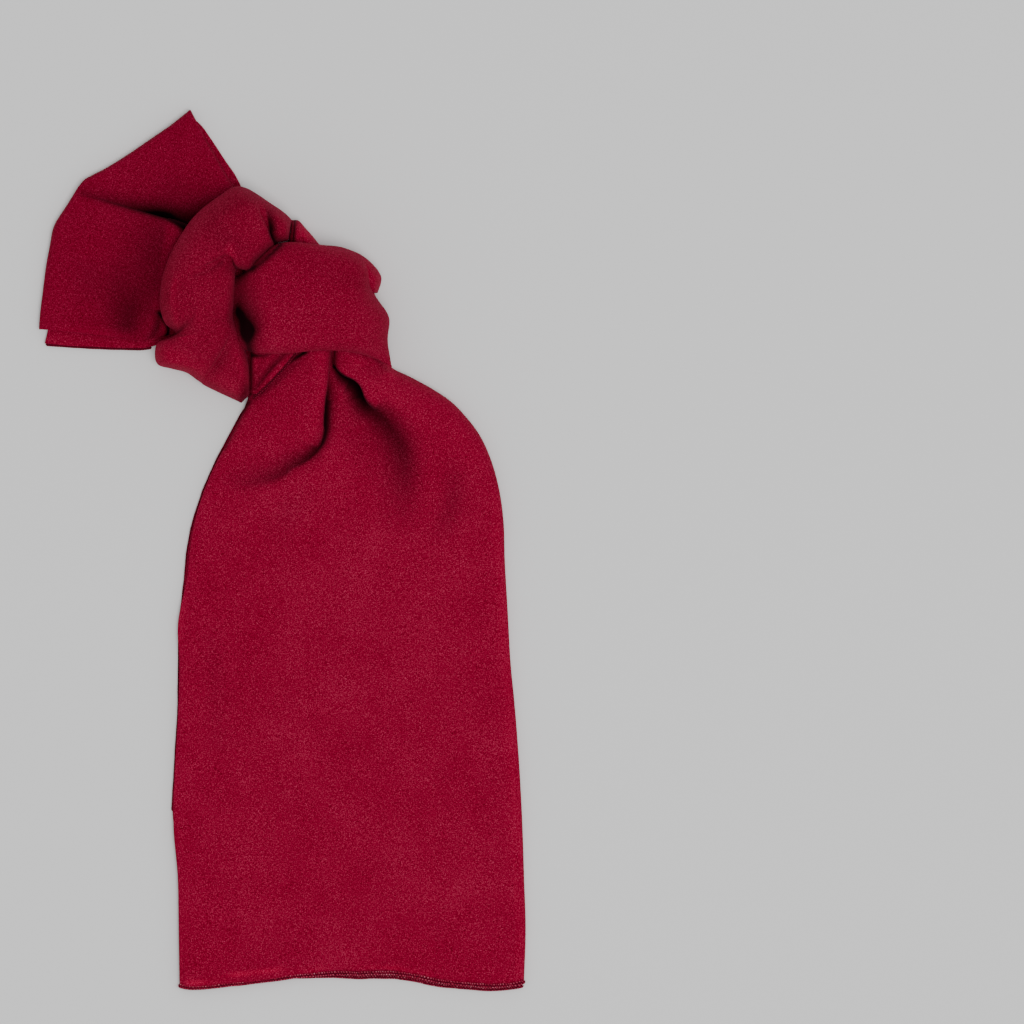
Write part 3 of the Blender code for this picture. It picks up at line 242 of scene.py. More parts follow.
# Layers under the short tail: two edges and their heights.
SHORT_UNDER = (
    (-23.2, 226.1, -60.8, 139.7, 3.4, 4, 4, 8, 60),
    (-26.5, 238, -68.7, 137.7, 3.4, 4, 8, 8, 60),
    (-30.9, 247.2, -76, 136.4, 3.4, 3.4, 8, 8, 60),
    (-37.5, 256.8, -82.9, 135.8, 3.4, 3.4, 8, 8, 60),
    (-47.4, 271.8, -89.2, 134.3, 3.4, 3.4, 8, 9, 60),
    (-54.2, 280.9, -95.1, 134, 3.4, 3.4, 5, 9, 60),
    (-60.1, 285.2, -99.1, 134.1, 3.4, 3.4, 2, 9, 60),
    (-73.7, 275.6, -109, 134.3, 3, 3.4, 1, 9, 60),
    (-85.5, 267.5, -118.2, 134.6, 3, 3.4, 1, 9, 60),
    (-97.4, 259.2, -126.8, 135, 3, 3.4, 1, 9, 60),
    (-108, 252.6, -134.7, 135.2, 3, 3.4, 1, 9, 60),
    (-116.9, 248.2, -142, 135.6, 3, 3.4, 1, 9, 60),
    (-124.8, 243.3, -148.6, 136.2, 3, 3.4, 1, 9, 60),
    (-131.6, 238, -156.5, 137.1, 3, 3.4, 1, 9, 60),
)
# Hidden layers under the wrap, left to right.
WRAP_CORE = (
    (-31.2, 185.9, -31.1, 141.6, 11, 10, 40, 40, 12),
    (-28.1, 187.8, -27.1, 140, 12, 11, 40, 40, 13),
    (-23.8, 189.8, -22.5, 139.7, 12.5, 12, 4, 4, 14),
    (-19.5, 189.8, -15.9, 140.3, 12, 10, 1, 1, 60),
    (-13.3, 196.4, -8, 141, 10, 10, 0, 0, 60),
    (-4, 200.7, 1.2, 141, 10, 10, 0, 0, 60),
    (9.2, 193.4, 12.5, 141.6, 10, 10, 0, 0, 60),
    (23.7, 191.8, 21, 147.6, 10, 10, 0, 0, 60),
    (32.9, 193.4, 31.6, 146.9, 10, 10, 0, 0, 60),
    (43.5, 192.1, 42.2, 145.6, 10, 10, 0, 0, 60),
    (50.7, 186.5, 51.4, 144.9, 10, 10, 0, 0, 60),
    (56, 177.9, 57.3, 144.9, 8, 8, 0, 0, 60),
)
# Hidden layers under the loop, along it.
LOOP_CORE = (
    (1.2, 215.6, -0.1, 206.3, 10, 10, 0, 0, 60),
    (-6, 220.2, -8, 204.3, 10, 10, 0, 0, 60),
    (-14.6, 224.8, -15.6, 199.7, 10, 10, 0, 0, 60),
    (-20.5, 224.1, -21.9, 192.8, 10, 10, 0, 0, 60),
    (-25.8, 213.6, -27.1, 187.8, 10, 10, 0, 0, 60),
    (-31.4, 201.7, -30.4, 183.9, 10, 10, 0, 0, 60),
    (-36.7, 189.8, -32.7, 176, 10, 10, 0, 0, 60),
    (-42, 177.9, -33.7, 168, 10, 10, 0, 0, 60),
    (-47.9, 164.7, -34.4, 159.5, 10, 10, 0, 0, 60),
    (-53.9, 151.5, -34.7, 151.5, 10, 10, 0, 0, 60),
    (-59.8, 138.3, -33.7, 144.3, 10, 10, 0, 0, 60),
    (-66.1, 131.1, -31.1, 137, 10, 10, 0, 0, 60),
    (-63.4, 126.5, -29.1, 131.1, 10, 10, 0, 0, 60),
    (-54.9, 121.2, -27.5, 124.5, 8, 8, 0, 0, 60),
    (-45.6, 114.6, -25.2, 118.5, 6, 6, 0, 0, 60),
    (-35.7, 108.6, -24.5, 112.6, 5, 5, 0, 0, 60),
    (-29.1, 105, -23.8, 108, 4, 4, 0, 0, 60),
)
# Hem of the layer that shows at the long tail's left: x, y, height.
SIDE_HEM = (
    (-20.9, 98.4, 7.5),
    (-22.9, 95.1, 5),
    (-25.9, 91.5, 2.2),
    (-28.9, 86.2, 2.2),
    (-32.5, 79.6, 2.2),
    (-35.9, 73, 2.2),
    (-39.4, 66.4, 2.2),
    (-43, 59.8, 2.2),
    (-46, 53.2, 2.2),
    (-48.9, 46.6, 2.2),
    (-51.7, 40, 2.2),
    (-53.9, 33.4, 2.2),
    (-56.2, 26.8, 2.2),
    (-58.3, 20.2, 2.2),
    (-59.9, 13.6, 2.2),
    (-62.8, -2.9, 2.2),
    (-64.1, -19.4, 2.2),
    (-66.1, -35.9, 2.2),
    (-67.8, -52.4, 2.2),
    (-67.9, -68.9, 2.2),
    (-68.1, -85.4, 2.2),
    (-68.2, -101.9, 2.2),
    (-69.1, -118.4, 2.2),
    (-70.2, -134.9, 2.2),
    (-71.1, -151.4, 2.2),
    (-71.9, -164.6, 2.2),
    (-72.4, -171.9, 2.2),
)
# Hem of the layer that shows under the short tail: x, y, height.
SHORT_HEM = (
    (-156.1, 136, 2.2),
    (-135.7, 134.4, 2.2),
    (-110.4, 133.3, 2.2),
    (-93.1, 132.9, 2.2),
    (-85.9, 134, 2.2),
)
# Hem line of the long tail: x, then y of the top layer's end and of the next layer's.
HEM = (
    (-67.8, -288.6, -286),
    (-60.5, -290.2, -287),
    (-52.5, -289.9, -286.6),
    (-44.6, -289.2, -286),
    (-36.7, -288, -285.2),
    (-28.8, -287.3, -284.6),
    (-20.9, -286.5, -284),
    (-12.9, -285.4, -283.4),
    (-5, -284.5, -283),
    (2.9, -283.2, -282.8),
    (10.8, -282.2, -282.6),
    (18.7, -281.6, -282.6),
    (26.7, -280.8, -282.2),
    (34.6, -280.3, -282.1),
    (42.5, -280.2, -282.6),
    (50.4, -280.7, -283.3),
    (58.3, -280.2, -282.7),
    (66.3, -280.1, -282.7),
    (74.2, -280.1, -282.8),
    (82.1, -281.2, -284),
    (90, -282.5, -285.3),
    (97.9, -284.5, -287.2),
    (105.9, -286, -288.5),
    (113.8, -286.8, -289.2),
    (121.7, -287.6, -289.9),
    (129.6, -288.2, -290.5),
    (137.5, -288.8, -291),
    (145.5, -288.4, -290.6),
    (153.4, -287.6, -289.8),
    (159.6, -286.2, -288.4),
)
# Lips of each stretch: the cloth beside its deep creases that is pushed over them.
LONG_LIPS = (
    (33.6, 135, 31.3, 117.9, 29, 103.4, -0.4, -2, -2.8, 1.1, 6),
    (29, 103.4, 27.1, 90.2, 27.1, 79.6, -2.8, -3.4, -3.2, 1.1, 6),
    (27.1, 79.6, 26.3, 73, 23.7, 67.7, -3.2, -2.2, -0.2, 1.2, 6),
    (34.9, 135, 34.4, 127.8, 35.2, 121.5, 0.2, 0.7, 1.4, 1.1, 5),
    (35.2, 121.5, 38.5, 117.2, 44.1, 114.2, 1.4, 2.2, 2.8, 1.1, 6),
    (44.1, 114.2, 50.7, 110.6, 53.7, 104, 2.8, 3, 2.6, 1.2, 6),
    (53.7, 104, 56, 97.4, 62, 91.5, 2.6, 1.8, 0.3, 1.4, 7),
)
SHORT_LIPS = (
    (-133.4, 237.3, -101.7, 226.8, -75.3, 218.2, -0.1, -1.8, -3.4, 1.5, 8),
    (-75.3, 218.2, -67.4, 215.6, -48.9, 207.6, -3.4, -4, -4, 1.3, 8),
)
LOOP_LIPS = (
    (-15.6, 228.8, -12, 218.2, -9, 210.9, -0.2, -2, -2.6, 1.1, 5),
    (-9, 210.9, -6.7, 205.7, -4.7, 199.7, -2.6, -2.6, -2.2, 1.1, 4),
    (-60.8, 182.2, -47.6, 187.8, -37.7, 193.4, 0.1, 0.9, 2.2, 1.1, 5),
    (-37.7, 193.4, -32.4, 193.1, -29.8, 186.5, 2.2, 2.6, 2.8, 1.1, 4),
    (-56.2, 163.4, -59.5, 151.5, -70.4, 142.6, 0, 0.3, 0.9, 1.2, 5),
    (-32.4, 142.3, -40.3, 127.8, -51.2, 111.3, -0.2, -1.2, -1, 1.6, 6),
)
# Painted shade and light of each stretch: painted shade in its folds, painted light on its edges and on
# faces that would catch more of it.
LONG_PAINTED_SHADE_LIGHT = (
    (31.3, 117.9, 30.5, 108.6, 29.1, 100.1, -0.15, -0.5, -0.9, 1.6, 2.6, 0.35, 0.45, 2),
    (29.1, 100.1, 28.2, 88.8, 28.2, 79.6, -0.9, -1, -1, 3.9, 3.7, 0.35, 0.35, 2.6),
    (28.2, 79.6, 27.4, 73, 24.9, 67.7, -1, -1, -0.85, 3, 1.2, 0.4, 1.6, 2.2),
    (24.9, 67.7, 17.7, 60.5, 6.5, 54.5, -0.85, -0.8, -0.62, 0.9, 1.6, 5, 9, 1.7),
    (6.5, 54.5, -5.4, 47.9, -27.8, 44, -0.62, -0.5, -0.18, 1.6, 5, 9, 11, 1.7),
    (34.4, 132.4, 33.7, 126.5, 34.4, 120.8, -0.4, -0.65, -0.92, 0.7, 0.7, 0.6, 1, 1.8),
    (34.6, 121.5, 38.9, 116.9, 44.8, 113.4, -0.92, -1, -1, 0.7, 0.7, 1, 6, 2.2),
    (44.8, 113.4, 50.4, 109, 53.7, 102, -1, -1, -1, 0.7, 0.7, 9, 10.5, 2.6),
    (53.7, 102, 56.4, 96.8, 60.6, 92.8, -1, -0.92, -0.8, 0.8, 2.5, 9.5, 9.5, 2),
    (60.6, 92.8, 69.2, 84.9, 76.5, 73, -0.8, -0.76, -0.66, 4, 8, 10, 14, 1.7),
    (76.5, 73, 81.1, 58.5, 81.1, 30.1, -0.66, -0.54, -0.18, 8, 10, 14, 16, 1.8),
    (42.2, 91.5, 46.1, 75.6, 55.4, 58.5, -0.06, -0.14, -0.06, 9, 9, 9, 9, 2),
    (11.8, 124.5, -1.4, 111.3, -17.9, 98.7, -0.15, -0.2, -0.2, 1, 1, 4.5, 5, 1.7),
    (-21.9, 97.4, -30.4, 83.6, -37.7, 68.4, -0.8, -0.8, -0.6, 1.6, 1.6, 2.5, 2.5, 1.8),
    (15.8, 130.7, 11.1, 128.1, 5.9, 124.1, -1, -1, -0.5, 2.2, 1.2, 1.4, 0.8, 2.4),
    (5.2, 124.1, -4, 114.2, -13.3, 103.4, -0.6, -0.5, -0.4, 0.5, 0.5, 0.5, 0.5, 1.6),
    (11.8, 115.2, -0.1, 102, -12, 88.8, 0, 0.06, 0.06, 6, 6, 6, 6, 2),
    (46.1, 127.8, 59.3, 124.5, 71.2, 117.9, 0.1, 0.35, 0.3, 5, 5, 5, 5, 2),
    (14.4, 127.1, 23.7, 128.4, 30.9, 128.4, 0.12, 0.15, 0.12, 3, 3, 4, 4, 2),
    (112.1, 54.5, 112.8, 33.4, 104.2, 12.3, -0.1, -0.24, -0.1, 8, 8, 8, 8, 2),
    (13.1, 33.4, 5.2, 25.5, -1.4, 12.3, -0.06, -0.1, -0.06, 9, 9, 9, 9, 2),
    (-46.3, -59, -43.6, -92, -42.3, -126.3, -0.07, -0.09, -0.06, 7, 7, 7, 7, 2),
    (143.1, 33.4, 149.1, -59, 153, -138.2, 0.1, 0.14, 0.14, 6, 6, 6, 6, 2),
    (153, -138.2, 157, -204.2, 159, -280.1, 0.14, 0.14, 0.14, 6, 6, 6, 6, 2),
    (-56.8, 30.1, -68.7, -65.6, -71.4, -164.6, 0.12, 0.12, 0.08, 2.2, 2.2, 2.2, 2.2, 2),
    (-64.8, -195, -64.5, -237.2, -64.6, -279.4, 0, -0.12, -0.16, 0.5, 0.5, 0.5, 0.5, 1.6),
    (-61.5, -204.2, -61.1, -243.8, -60.8, -278.1, 0, -0.06, -0.12, 0.5, 0.5, 0.5, 0.5, 1.6),
    (154.4, -151.4, 155.7, -217.4, 156.3, -279.4, 0, -0.1, -0.14, 0.5, 0.5, 0.5, 0.5, 1.6),
    (151.1, -164.6, 152.4, -224, 153, -278.1, 0, -0.06, -0.12, 0.5, 0.5, 0.5, 0.5, 1.6),
    (-62.1, -284.7, -50.2, -283.7, -27.8, -279.4, 0.35, 0.75, 0.5, 0.9, 0.9, 0.9, 0.9, 2),
    (-27.8, -279.4, -8, -277.1, 32.9, -275.8, 0.5, 0.4, 0.05, 0.9, 0.8, 0.9, 0.8, 2),
    (46.1, -275.5, 81.1, -275.5, 98.9, -280.1, 0.05, 0.35, 0.1, 0.8, 0.8, 0.8, 0.8, 2),
)
INNER_PAINTED_SHADE_LIGHT = (
    (2.6, 129.8, -6.7, 119.9, -17.2, 106.7, -0.45, -0.6, -0.4, 1.5, 2, 3, 4, 1.6),
    (-20.5, 128.4, -20.9, 115.2, -21.2, 100.7, -0.7, -0.3, -0.3, 1, 0.8, 1, 0.8, 1.5),
    (-21.2, 130.4, -17.2, 128.4, -8, 128.8, -0.97, -0.9, -0.3, 2.2, 1.6, 2.2, 1.6, 1.8),
)
SHORT_PAINTED_SHADE_LIGHT = (
    (-130.8, 234.7, -101.7, 226.4, -76.6, 219.8, -0.35, -0.6, -0.95, 5, 8, 2, 1.5, 1.6),
    (-76.6, 219.8, -70, 216.2, -60.8, 209.6, -0.95, -1, -1, 8, 15, 1.5, 3, 1.8),
    (-92.5, 178.6, -97.8, 163.4, -101.7, 148.2, -0.02, -0.22, -0.42, 7, 9, 6, 8, 1.9),
    (-125.5, 195.1, -126.8, 178.6, -124.2, 162.1, 0, -0.16, -0.05, 14, 14, 12, 12, 2),
    (-80.6, 156.8, -75, 144.9, -81.3, 138.3, -0.6, -1, -0.9, 1.6, 1.6, 1.6, 1.6, 2.2),
    (-78.6, 214.2, -81.9, 190.5, -87.2, 162.8, -0.3, -0.42, -0.3, 4, 4, 22, 24, 1.9),
    (-87.2, 240.6, -70, 235.4, -52.9, 231.4, -0.04, -0.18, -0.22, 13, 13, 13, 13, 2),
    (-107, 183.9, -109, 166.7, -111, 152.2, -0.1, -0.22, -0.16, 9, 9, 9, 9, 2),
    (-81.9, 156.2, -81.9, 148.2, -87.2, 139, -0.4, -0.6, -0.3, 3, 3, 3, 3.5, 2),
    (-50.2, 273, -41.7, 259.1, -33.1, 243.9, -0.6, -0.75, -0.7, 1.1, 1.1, 1.1, 1.1, 1.8),
    (-146.6, 144.9, -126.8, 143.6, -101.7, 141.6, 0.12, 0.14, 0.1, 3.5, 3.5, 3.5, 3.5, 2),
)
LOOP_PAINTED_SHADE_LIGHT = (
    (-10, 224.1, -8, 217.5, -7, 210.3, -0.2, -0.8, -0.97, 4.5, 3.6, 0.4, 1.2, 1.9),
    (-7, 210.3, -5.4, 205, -1.7, 200, -0.97, -1, -1, 2.4, 1.8, 1.4, 1.2, 1.8),
    (-56.2, 180.6, -46.9, 184.2, -38.4, 189.8, -0.16, -0.2, -0.3, 1.2, 0.8, 2.4, 3, 1.4),
    (-38.4, 189.8, -32.4, 189.8, -28.8, 185.2, -0.1, -0.15, -0.9, 0.6, 0.6, 2, 1.2, 1.4),
    (-32.4, 198.4, -32.4, 190.5, -30.4, 165.4, 0.3, 0.4, 0.25, 3, 3, 3, 3, 2),
    (-30.4, 165.4, -27.8, 135.7, -22.5, 111.3, 0.2, 0.25, 0.3, 3, 3, 3, 3, 2),
    (-57.5, 159.5, -60.8, 150.9, -69.7, 142.6, -0.1, -0.12, -0.8, 2.5, 0.5, 3, 0.7, 1.8),
    (-70, 142.3, -74.7, 146.9, -77.3, 153.5, -0.5, 0.1, 0.2, 0.6, 0.6, 0.6, 0.6, 1.6),
    (-70, 144.3, -64.8, 143, -58.2, 141, 0.15, 0.3, 0.12, 4, 4, 4, 4, 2),
    (-32.4, 139, -38.4, 127.8, -46.9, 115.2, -0.1, -0.2, -0.15, 3, 4, 2, 2, 1.6),
    (-23.8, 111.3, -23.8, 106, -25.2, 100.1, -0.2, -0.5, -0.6, 2, 2.5, 3, 4, 1.8),
    (-68.1, 183.9, -70.4, 165.4, -68.1, 146.9, 0.1, 0.42, 0.2, 1.2, 1.2, 1.6, 1.6, 1.8),
    (-79.3, 131.1, -66.1, 125.1, -50.2, 116.6, 0.25, 0.32, 0.1, 7, 7, 7, 7, 2),
    (-52.2, 119.2, -39.7, 111.3, -30.4, 104, 0.08, 0.16, 0.14, 6, 6, 6, 6, 2),
    (-82.6, 135, -82.6, 128.4, -79.3, 121.8, 0.12, 0.16, 0.12, 3, 3, 3, 3, 2),
    (-41, 222.2, -29.1, 228.8, -17.2, 233.4, -0.1, -0.16, -0.12, 7, 7, 7, 7, 2),
    (-46.3, 212.9, -37, 205, -27.8, 195.8, -0.1, -0.16, -0.14, 8, 8, 8, 8, 2),
)
WRAP_PAINTED_SHADE_LIGHT = (
    (-29.1, 183.2, -29.1, 172, -28.8, 156.8, -0.45, -0.15, -0.55, 5, 4, 2, 2, 2),
    (-28.5, 156.8, -25.2, 150.9, -23.5, 143, -0.55, -1, -0.9, 7.5, 8, 6, 5, 1.8),
    (-23.2, 143.6, -22.5, 137.7, -20.9, 130.4, -0.9, -0.55, -0.95, 6, 4, 3, 2, 1.8),
    (-27.8, 182.6, -23.2, 183.2, -18.6, 186.2, -0.9, -0.8, -0.7, 1.5, 1.5, 1.6, 1.5, 1.6),
    (-18.6, 185.5, -10, 192.1, -0.4, 201.4, -0.7, -0.75, -0.9, 0.8, 0.8, 2.4, 2.2, 1.6),
    (-13.3, 165.4, 25, 162.1, 59.3, 157.5, -0.11, -0.13, -0.14, 45, 45, 45, 45, 4),
    (11.8, 190.5, 31.6, 185.2, 52.7, 176, -0.06, -0.08, -0.1, 10, 10, 10, 10, 2),
    (55.9, 189.3, 57.5, 180.8, 62.3, 170.2, 0.1, 0.2, 0.25, 0.5, 0.5, 0.5, 0.5, 2),
)
TUCK_PAINTED_SHADE_LIGHT = (
    (8.2, 220.2, 8.2, 212.3, 7.2, 201.7, -0.9, -0.9, -0.9, 2, 1.6, 0.5, 0.5, 2),
    (11.8, 214.2, 15.8, 209, 19.7, 203, 0.1, 0.25, 0.1, 3, 3, 3, 3, 2),
)
# Creases of each stretch.
LONG_FOLDS = (
    (33.6, 135, 31.3, 117.9, 29, 103.4, 7, 10, 13, 6, 7, 1.3, 1.5, 1.3),
    (29, 103.4, 27.1, 90.2, 27.1, 79.6, 13, 15, 14, 8, 5, 1.5, 2.5, 1.3),
    (27.1, 79.6, 26.3, 73, 23.7, 67.7, 14, 12, 10, 5, 2.5, 2.5, 6, 1.3),
    (23.7, 67.7, 13.8, 58.5, -16.6, 42.6, 10, 6, 0, 2, 9, 7, 13, 1.4),
    (34.9, 135, 34.4, 127.8, 35.2, 121.5, 4, 9, 12, 1.3, 1.3, 3, 4, 1.3),
    (35.2, 121.5, 38.5, 117.2, 44.1, 114.2, 12, 14, 15, 1.3, 1.4, 4, 8, 1.4),
    (44.1, 114.2, 50.7, 110.6, 53.7, 104, 15, 15, 14, 1.4, 1.6, 8, 9, 1.4),
    (53.7, 104, 56, 97.4, 62, 91.5, 14, 12, 10, 1.6, 3, 9, 11, 1.4),
    (62, 91.5, 75.2, 78.3, 81.1, 30.8, 10, 7.5, 0, 4, 14, 12, 18, 1.6),
    (27.6, 135.7, 24.3, 106, 17.7, 70.4, -1.5, -3, -2, 5, 5, 10, 14, 1.8),
    (46.1, 131.1, 60.6, 112.6, 79.1, 94.1, -1, -2.5, -0.5, 9, 14, 4, 6, 1.8),
    (11.8, 127.1, -4, 111.9, -19.9, 96.8, 1.2, 0.8, 0.7, 4, 4, 6, 6, 1.5),
    (108.2, 53.2, 115.4, 31.4, 110.1, 7, 0, 2.4, 0, 13, 13, 13, 13, 2),
    (67.9, 102.7, 97.6, 82.9, 117.4, 53.2, 0, -3, 0, 14, 14, 12, 12, 2),
    (11.8, 109.3, 1.9, 89.5, -17.9, 66.4, 0, -2.5, 0, 12, 12, 12, 12, 2),
    (81.1, 46.6, 93.6, 23.5, 96.3, -6.2, 0, -1.8, 0, 12, 12, 10, 10, 2),
    (11.8, 33.4, 28.3, 7, 31.6, -32.6, 0, 0.9, 0, 12, 14, 12, 14, 2),
    (-44.3, -59, -37, -98.6, -33.1, -158, 0, 0.8, 0, 10, 12, 10, 12, 2),
    (100.2, -92, 101.6, -184.4, 100.2, -286.7, 0.3, 0.6, 0.5, 1.6, 1.6, 1.6, 1.6, 1.6),
    (-63.4, -282.7, -37.7, -283.7, 11.8, -277.5, -0.9, -1.3, -0.5, 2.4, 2.4, 2.2, 2.2, 1.8),
    (38.2, -275.5, 74.5, -275.5, 124, -283.4, -0.3, -0.7, -0.3, 2.4, 2.4, 2.2, 2.2, 1.8),
)
INNER_FOLDS = (
    (6.5, 131.7, -6.7, 120.5, -17.2, 107.3, 1.6, 1.8, 0.6, 1.6, 1.6, 2.4, 2.4, 1.5),
    (-9.3, 131.1, -15.9, 121.8, -19.2, 112.6, 1.2, 1.2, 0, 2, 2, 2, 2, 1.6),
)
SHORT_FOLDS = (
    (-133.4, 237.3, -101.7, 226.8, -75.3, 218.2, 0.5, 7, 12, 16, 19, 5, 2.2, 1.35),
    (-75.3, 218.2, -67.4, 215.6, -48.9, 207.6, 12, 13.5, 13.5, 19, 18, 2.2, 1.8, 1.35),
    (-122.8, 231.4, -93.8, 220.2, -59.5, 207, -0.2, -1.5, -2.5, 3, 3, 6, 8, 1.8),
    (-83.2, 207.6, -89.8, 176, -100.4, 149.6, 0.5, 2.6, 5, 9, 10, 11, 12, 1.9),
    (-79.3, 153.5, -81.9, 165.4, -81.9, 176, -1, -1, 0, 5, 5, 5, 5, 1.9),
    (-140, 221.5, -133.4, 191.8, -140, 153.5, 0, -0.8, 0, 14, 14, 14, 14, 2),
    (-122.8, 211.6, -113.6, 185.2, -117.6, 152.2, 0, 0.7, 0, 10, 10, 10, 10, 2),
    (-87.2, 265.7, -70, 254.5, -50.2, 240.6, 0, 1, 1.4, 8, 8, 8, 8, 2),
)
LOOP_FOLDS = (
    (-15.6, 228.8, -12, 218.2, -9, 210.9, 1.5, 7, 11, 6, 7, 3, 1.4, 1.4),
    (-9, 210.9, -6.7, 205.7, -4.7, 199.7, 11, 12, 12, 7, 4, 1.4, 1.4, 1.3),
    (-60.8, 182.2, -47.6, 187.8, -37.7, 193.4, 1.2, 4, 7, 2, 1.8, 6, 8, 1.4),
    (-37.7, 193.4, -32.4, 193.1, -29.8, 186.5, 7, 9, 12, 1.8, 1.6, 8, 5, 1.4),
    (-48.9, 193.1, -35.7, 195.4, -27.1, 188.5, -0.4, -1.6, -1.5, 3, 3, 3, 3, 1.8),
    (-56.2, 163.4, -59.5, 151.5, -70.4, 142.6, 0.3, 2.2, 6, 2.5, 1.8, 5, 4, 1.5),
    (-68.1, 183.9, -70.4, 165.4, -68.1, 147.6, -0.3, -0.9, -0.4, 2.4, 2.4, 2.4, 2.4, 1.8),
    (-55.5, 159.5, -57.5, 148.9, -67.4, 140.3, -0.2, -0.6, -0.6, 4, 4, 2.5, 2.5, 1.8),
    (-32.4, 142.3, -40.3, 127.8, -51.2, 111.3, 2, 5.5, 6.5, 7, 10, 2.6, 3.4, 1.4),
    (-45, 131.1, -51.6, 121.8, -58.2, 115.2, -0.6, -1.4, -1.2, 3, 3, 6, 6, 1.8),
    (-75.3, 146.9, -78.6, 142.3, -82.6, 138.3, 1.5, 1.5, 1.2, 1, 1, 1.2, 1.2, 1.5),
    (0.6, 224.8, -0.7, 214.2, 1.2, 203, -0.5, -1.2, -0.5, 5, 5, 4, 4, 1.9),
    (-25.8, 234, -44.3, 221.5, -56.8, 203, 0, 0.8, 0, 6, 6, 7, 7, 2),
    (-37, 165.4, -45, 153.5, -51.6, 144.3, 0, 0.9, 0, 6, 6, 6, 6, 2),
    (-74, 131.1, -64.8, 127.1, -54.2, 121.8, 0.2, 1.2, 0.3, 4, 4, 5, 5, 1.8),
    (-27.8, 115.9, -35.7, 110, -43.6, 106.7, 0.3, 1.3, 0.8, 3, 3, 4, 4, 1.8),
)
WRAP_FOLDS = (
    (-27.8, 165.4, -21.2, 154.8, -13.3, 144.3, 3.5, 4.5, 0, 8, 7, 8, 7, 1.8),
    (-25.2, 135.7, -13.3, 133.1, 1.9, 132.4, 2, 0.8, 0, 3, 3, 4, 4, 1.7),
    (34.2, 131.1, 36.2, 139, 37.5, 153.5, 1.6, 0.8, 0, 3, 4, 3, 4, 1.7),
    (11.8, 190.5, 28.3, 186.5, 46.1, 176, 0, 0.9, 0, 9, 9, 9, 9, 2),
    (-4, 145.6, 11.8, 150.9, 31.6, 148.2, 0, 0.7, 0, 8, 8, 8, 8, 2),
    (59.3, 137.7, 64.6, 131.1, 68.6, 124.5, 0.2, 1.1, 1.2, 3, 3, 4, 4, 1.7),
)
TUCK_FOLDS = (
    (10.5, 218.9, 13.1, 210.3, 14.4, 201, 0.4, 1.6, 1.8, 1.6, 1.6, 1.6, 1.6, 1.6),
    (15.8, 214.2, 17.7, 207.6, 19.7, 199.7, 0.3, 1.2, 1.4, 1.6, 1.6, 1.6, 1.6, 1.6),
)


def distances(rows):
    """How far along a table each of its rows is: the mean of both edges' and the middle's way."""
    rows = np.array(rows, float)
    a, b = rows[:, :2], rows[:, 2:4]
    steps = sum(np.linalg.norm(np.diff(p, axis=0), axis=1) for p in (a, b, (a + b) / 2)) / 3
    return np.concatenate([[0.0], np.cumsum(steps)])


def blend(rows, where):
    """A table's rows joined by cubic curves through them, read at shares of its whole length."""
    rows = np.array(rows, float)
    d = distances(rows)
    slope = np.gradient(rows, d, axis=0)
    at = np.clip(where, 0, 1) * d[-1]
    k = np.clip(np.searchsorted(d, at, side="right") - 1, 0, len(d) - 2)
    h = (d[k + 1] - d[k])[:, None]
    s = ((at - d[k])[:, None]) / h
    out = rows[k] * (2 * s**3 - 3 * s**2 + 1) + rows[k + 1] * (3 * s**2 - 2 * s**3)
    return out + slope[k] * h * (s**3 - 2 * s**2 + s) + slope[k + 1] * h * (s**3 - s**2)


def middle_length(rows):
    """Length of the line through the middles of a table's sections."""
    rows = np.array(rows, float)
    middle = (rows[:, :2] + rows[:, 2:4]) / 2
    return np.linalg.norm(np.diff(middle, axis=0), axis=1).sum()


def paths(table, columns):
    """The lines of a table as curved paths, with the table's values along them.

    A row whose line starts where the one before it ends goes on with the same path. Three values
    of a row, at the start, middle and end of its line, are joined by a parabola.
    """
    t = np.linspace(0, 1, LINE_STEPS)
    first, middle, last = (1 - t) * (1 - 2 * t), 4 * t * (1 - t), t * (2 * t - 1)
    found, before = [], None
    for row in table:
        f = dict(zip(columns, row))
        values = []
        for name in columns:
            key = name[:-1]
            if name.endswith("0") and key + "2" in f:
                values.append(first * f[name] + middle * f[key + "1"] + last * f[key + "2"])
            elif name.endswith("0"):
                values.append((1 - t) * f[name] + t * f[key + "1"])
            elif not name.endswith(("1", "2")):
                values.append(np.full_like(t, f[name]))
        values = np.array(values)
        if before == row[:2]:
            found[-1] = np.concatenate([found[-1], values[:, 1:]], axis=1)
        else:
            found.append(values)
        before = row[4:6]
    return found


def beside(x, y, path, reach):
    """The points within reach of a path: which they are, the path's values at its nearest place,
    how far away that is, the way towards it, and on which side they lie, from -1 to 1.
    """
    px, py = path[:2]
    near = (x > px.min() - reach) & (x < px.max() + reach)
    near &= (y > py.min() - reach) & (y < py.max() + reach)
    qx, qy = x[near][:, None], y[near][:, None]
    dx, dy = np.diff(px), np.diff(py)
    share = np.clip(((qx - px[:-1]) * dx + (qy - py[:-1]) * dy) / (dx**2 + dy**2), 0, 1)
    gx, gy = qx - px[:-1] - share * dx, qy - py[:-1] - share * dy
    away = np.hypot(gx, gy)
    k = away.argmin(axis=1) if len(away) else np.zeros(0, int)
    row = np.arange(len(k))
    away, share, gx, gy = away[row, k], share[row, k], gx[row, k], gy[row, k]
    side = (dx[k] * gy - dy[k] * gx) / (np.hypot(dx[k], dy[k]) * np.maximum(away, 1e-6))
    way = np.stack([-gx, -gy], axis=-1) / np.maximum(away, 1e-6)[:, None]
    values = path[2:, k] * (1 - share) + path[2:, k + 1] * share
    return near, values, away, way, np.clip(side, -1, 1)


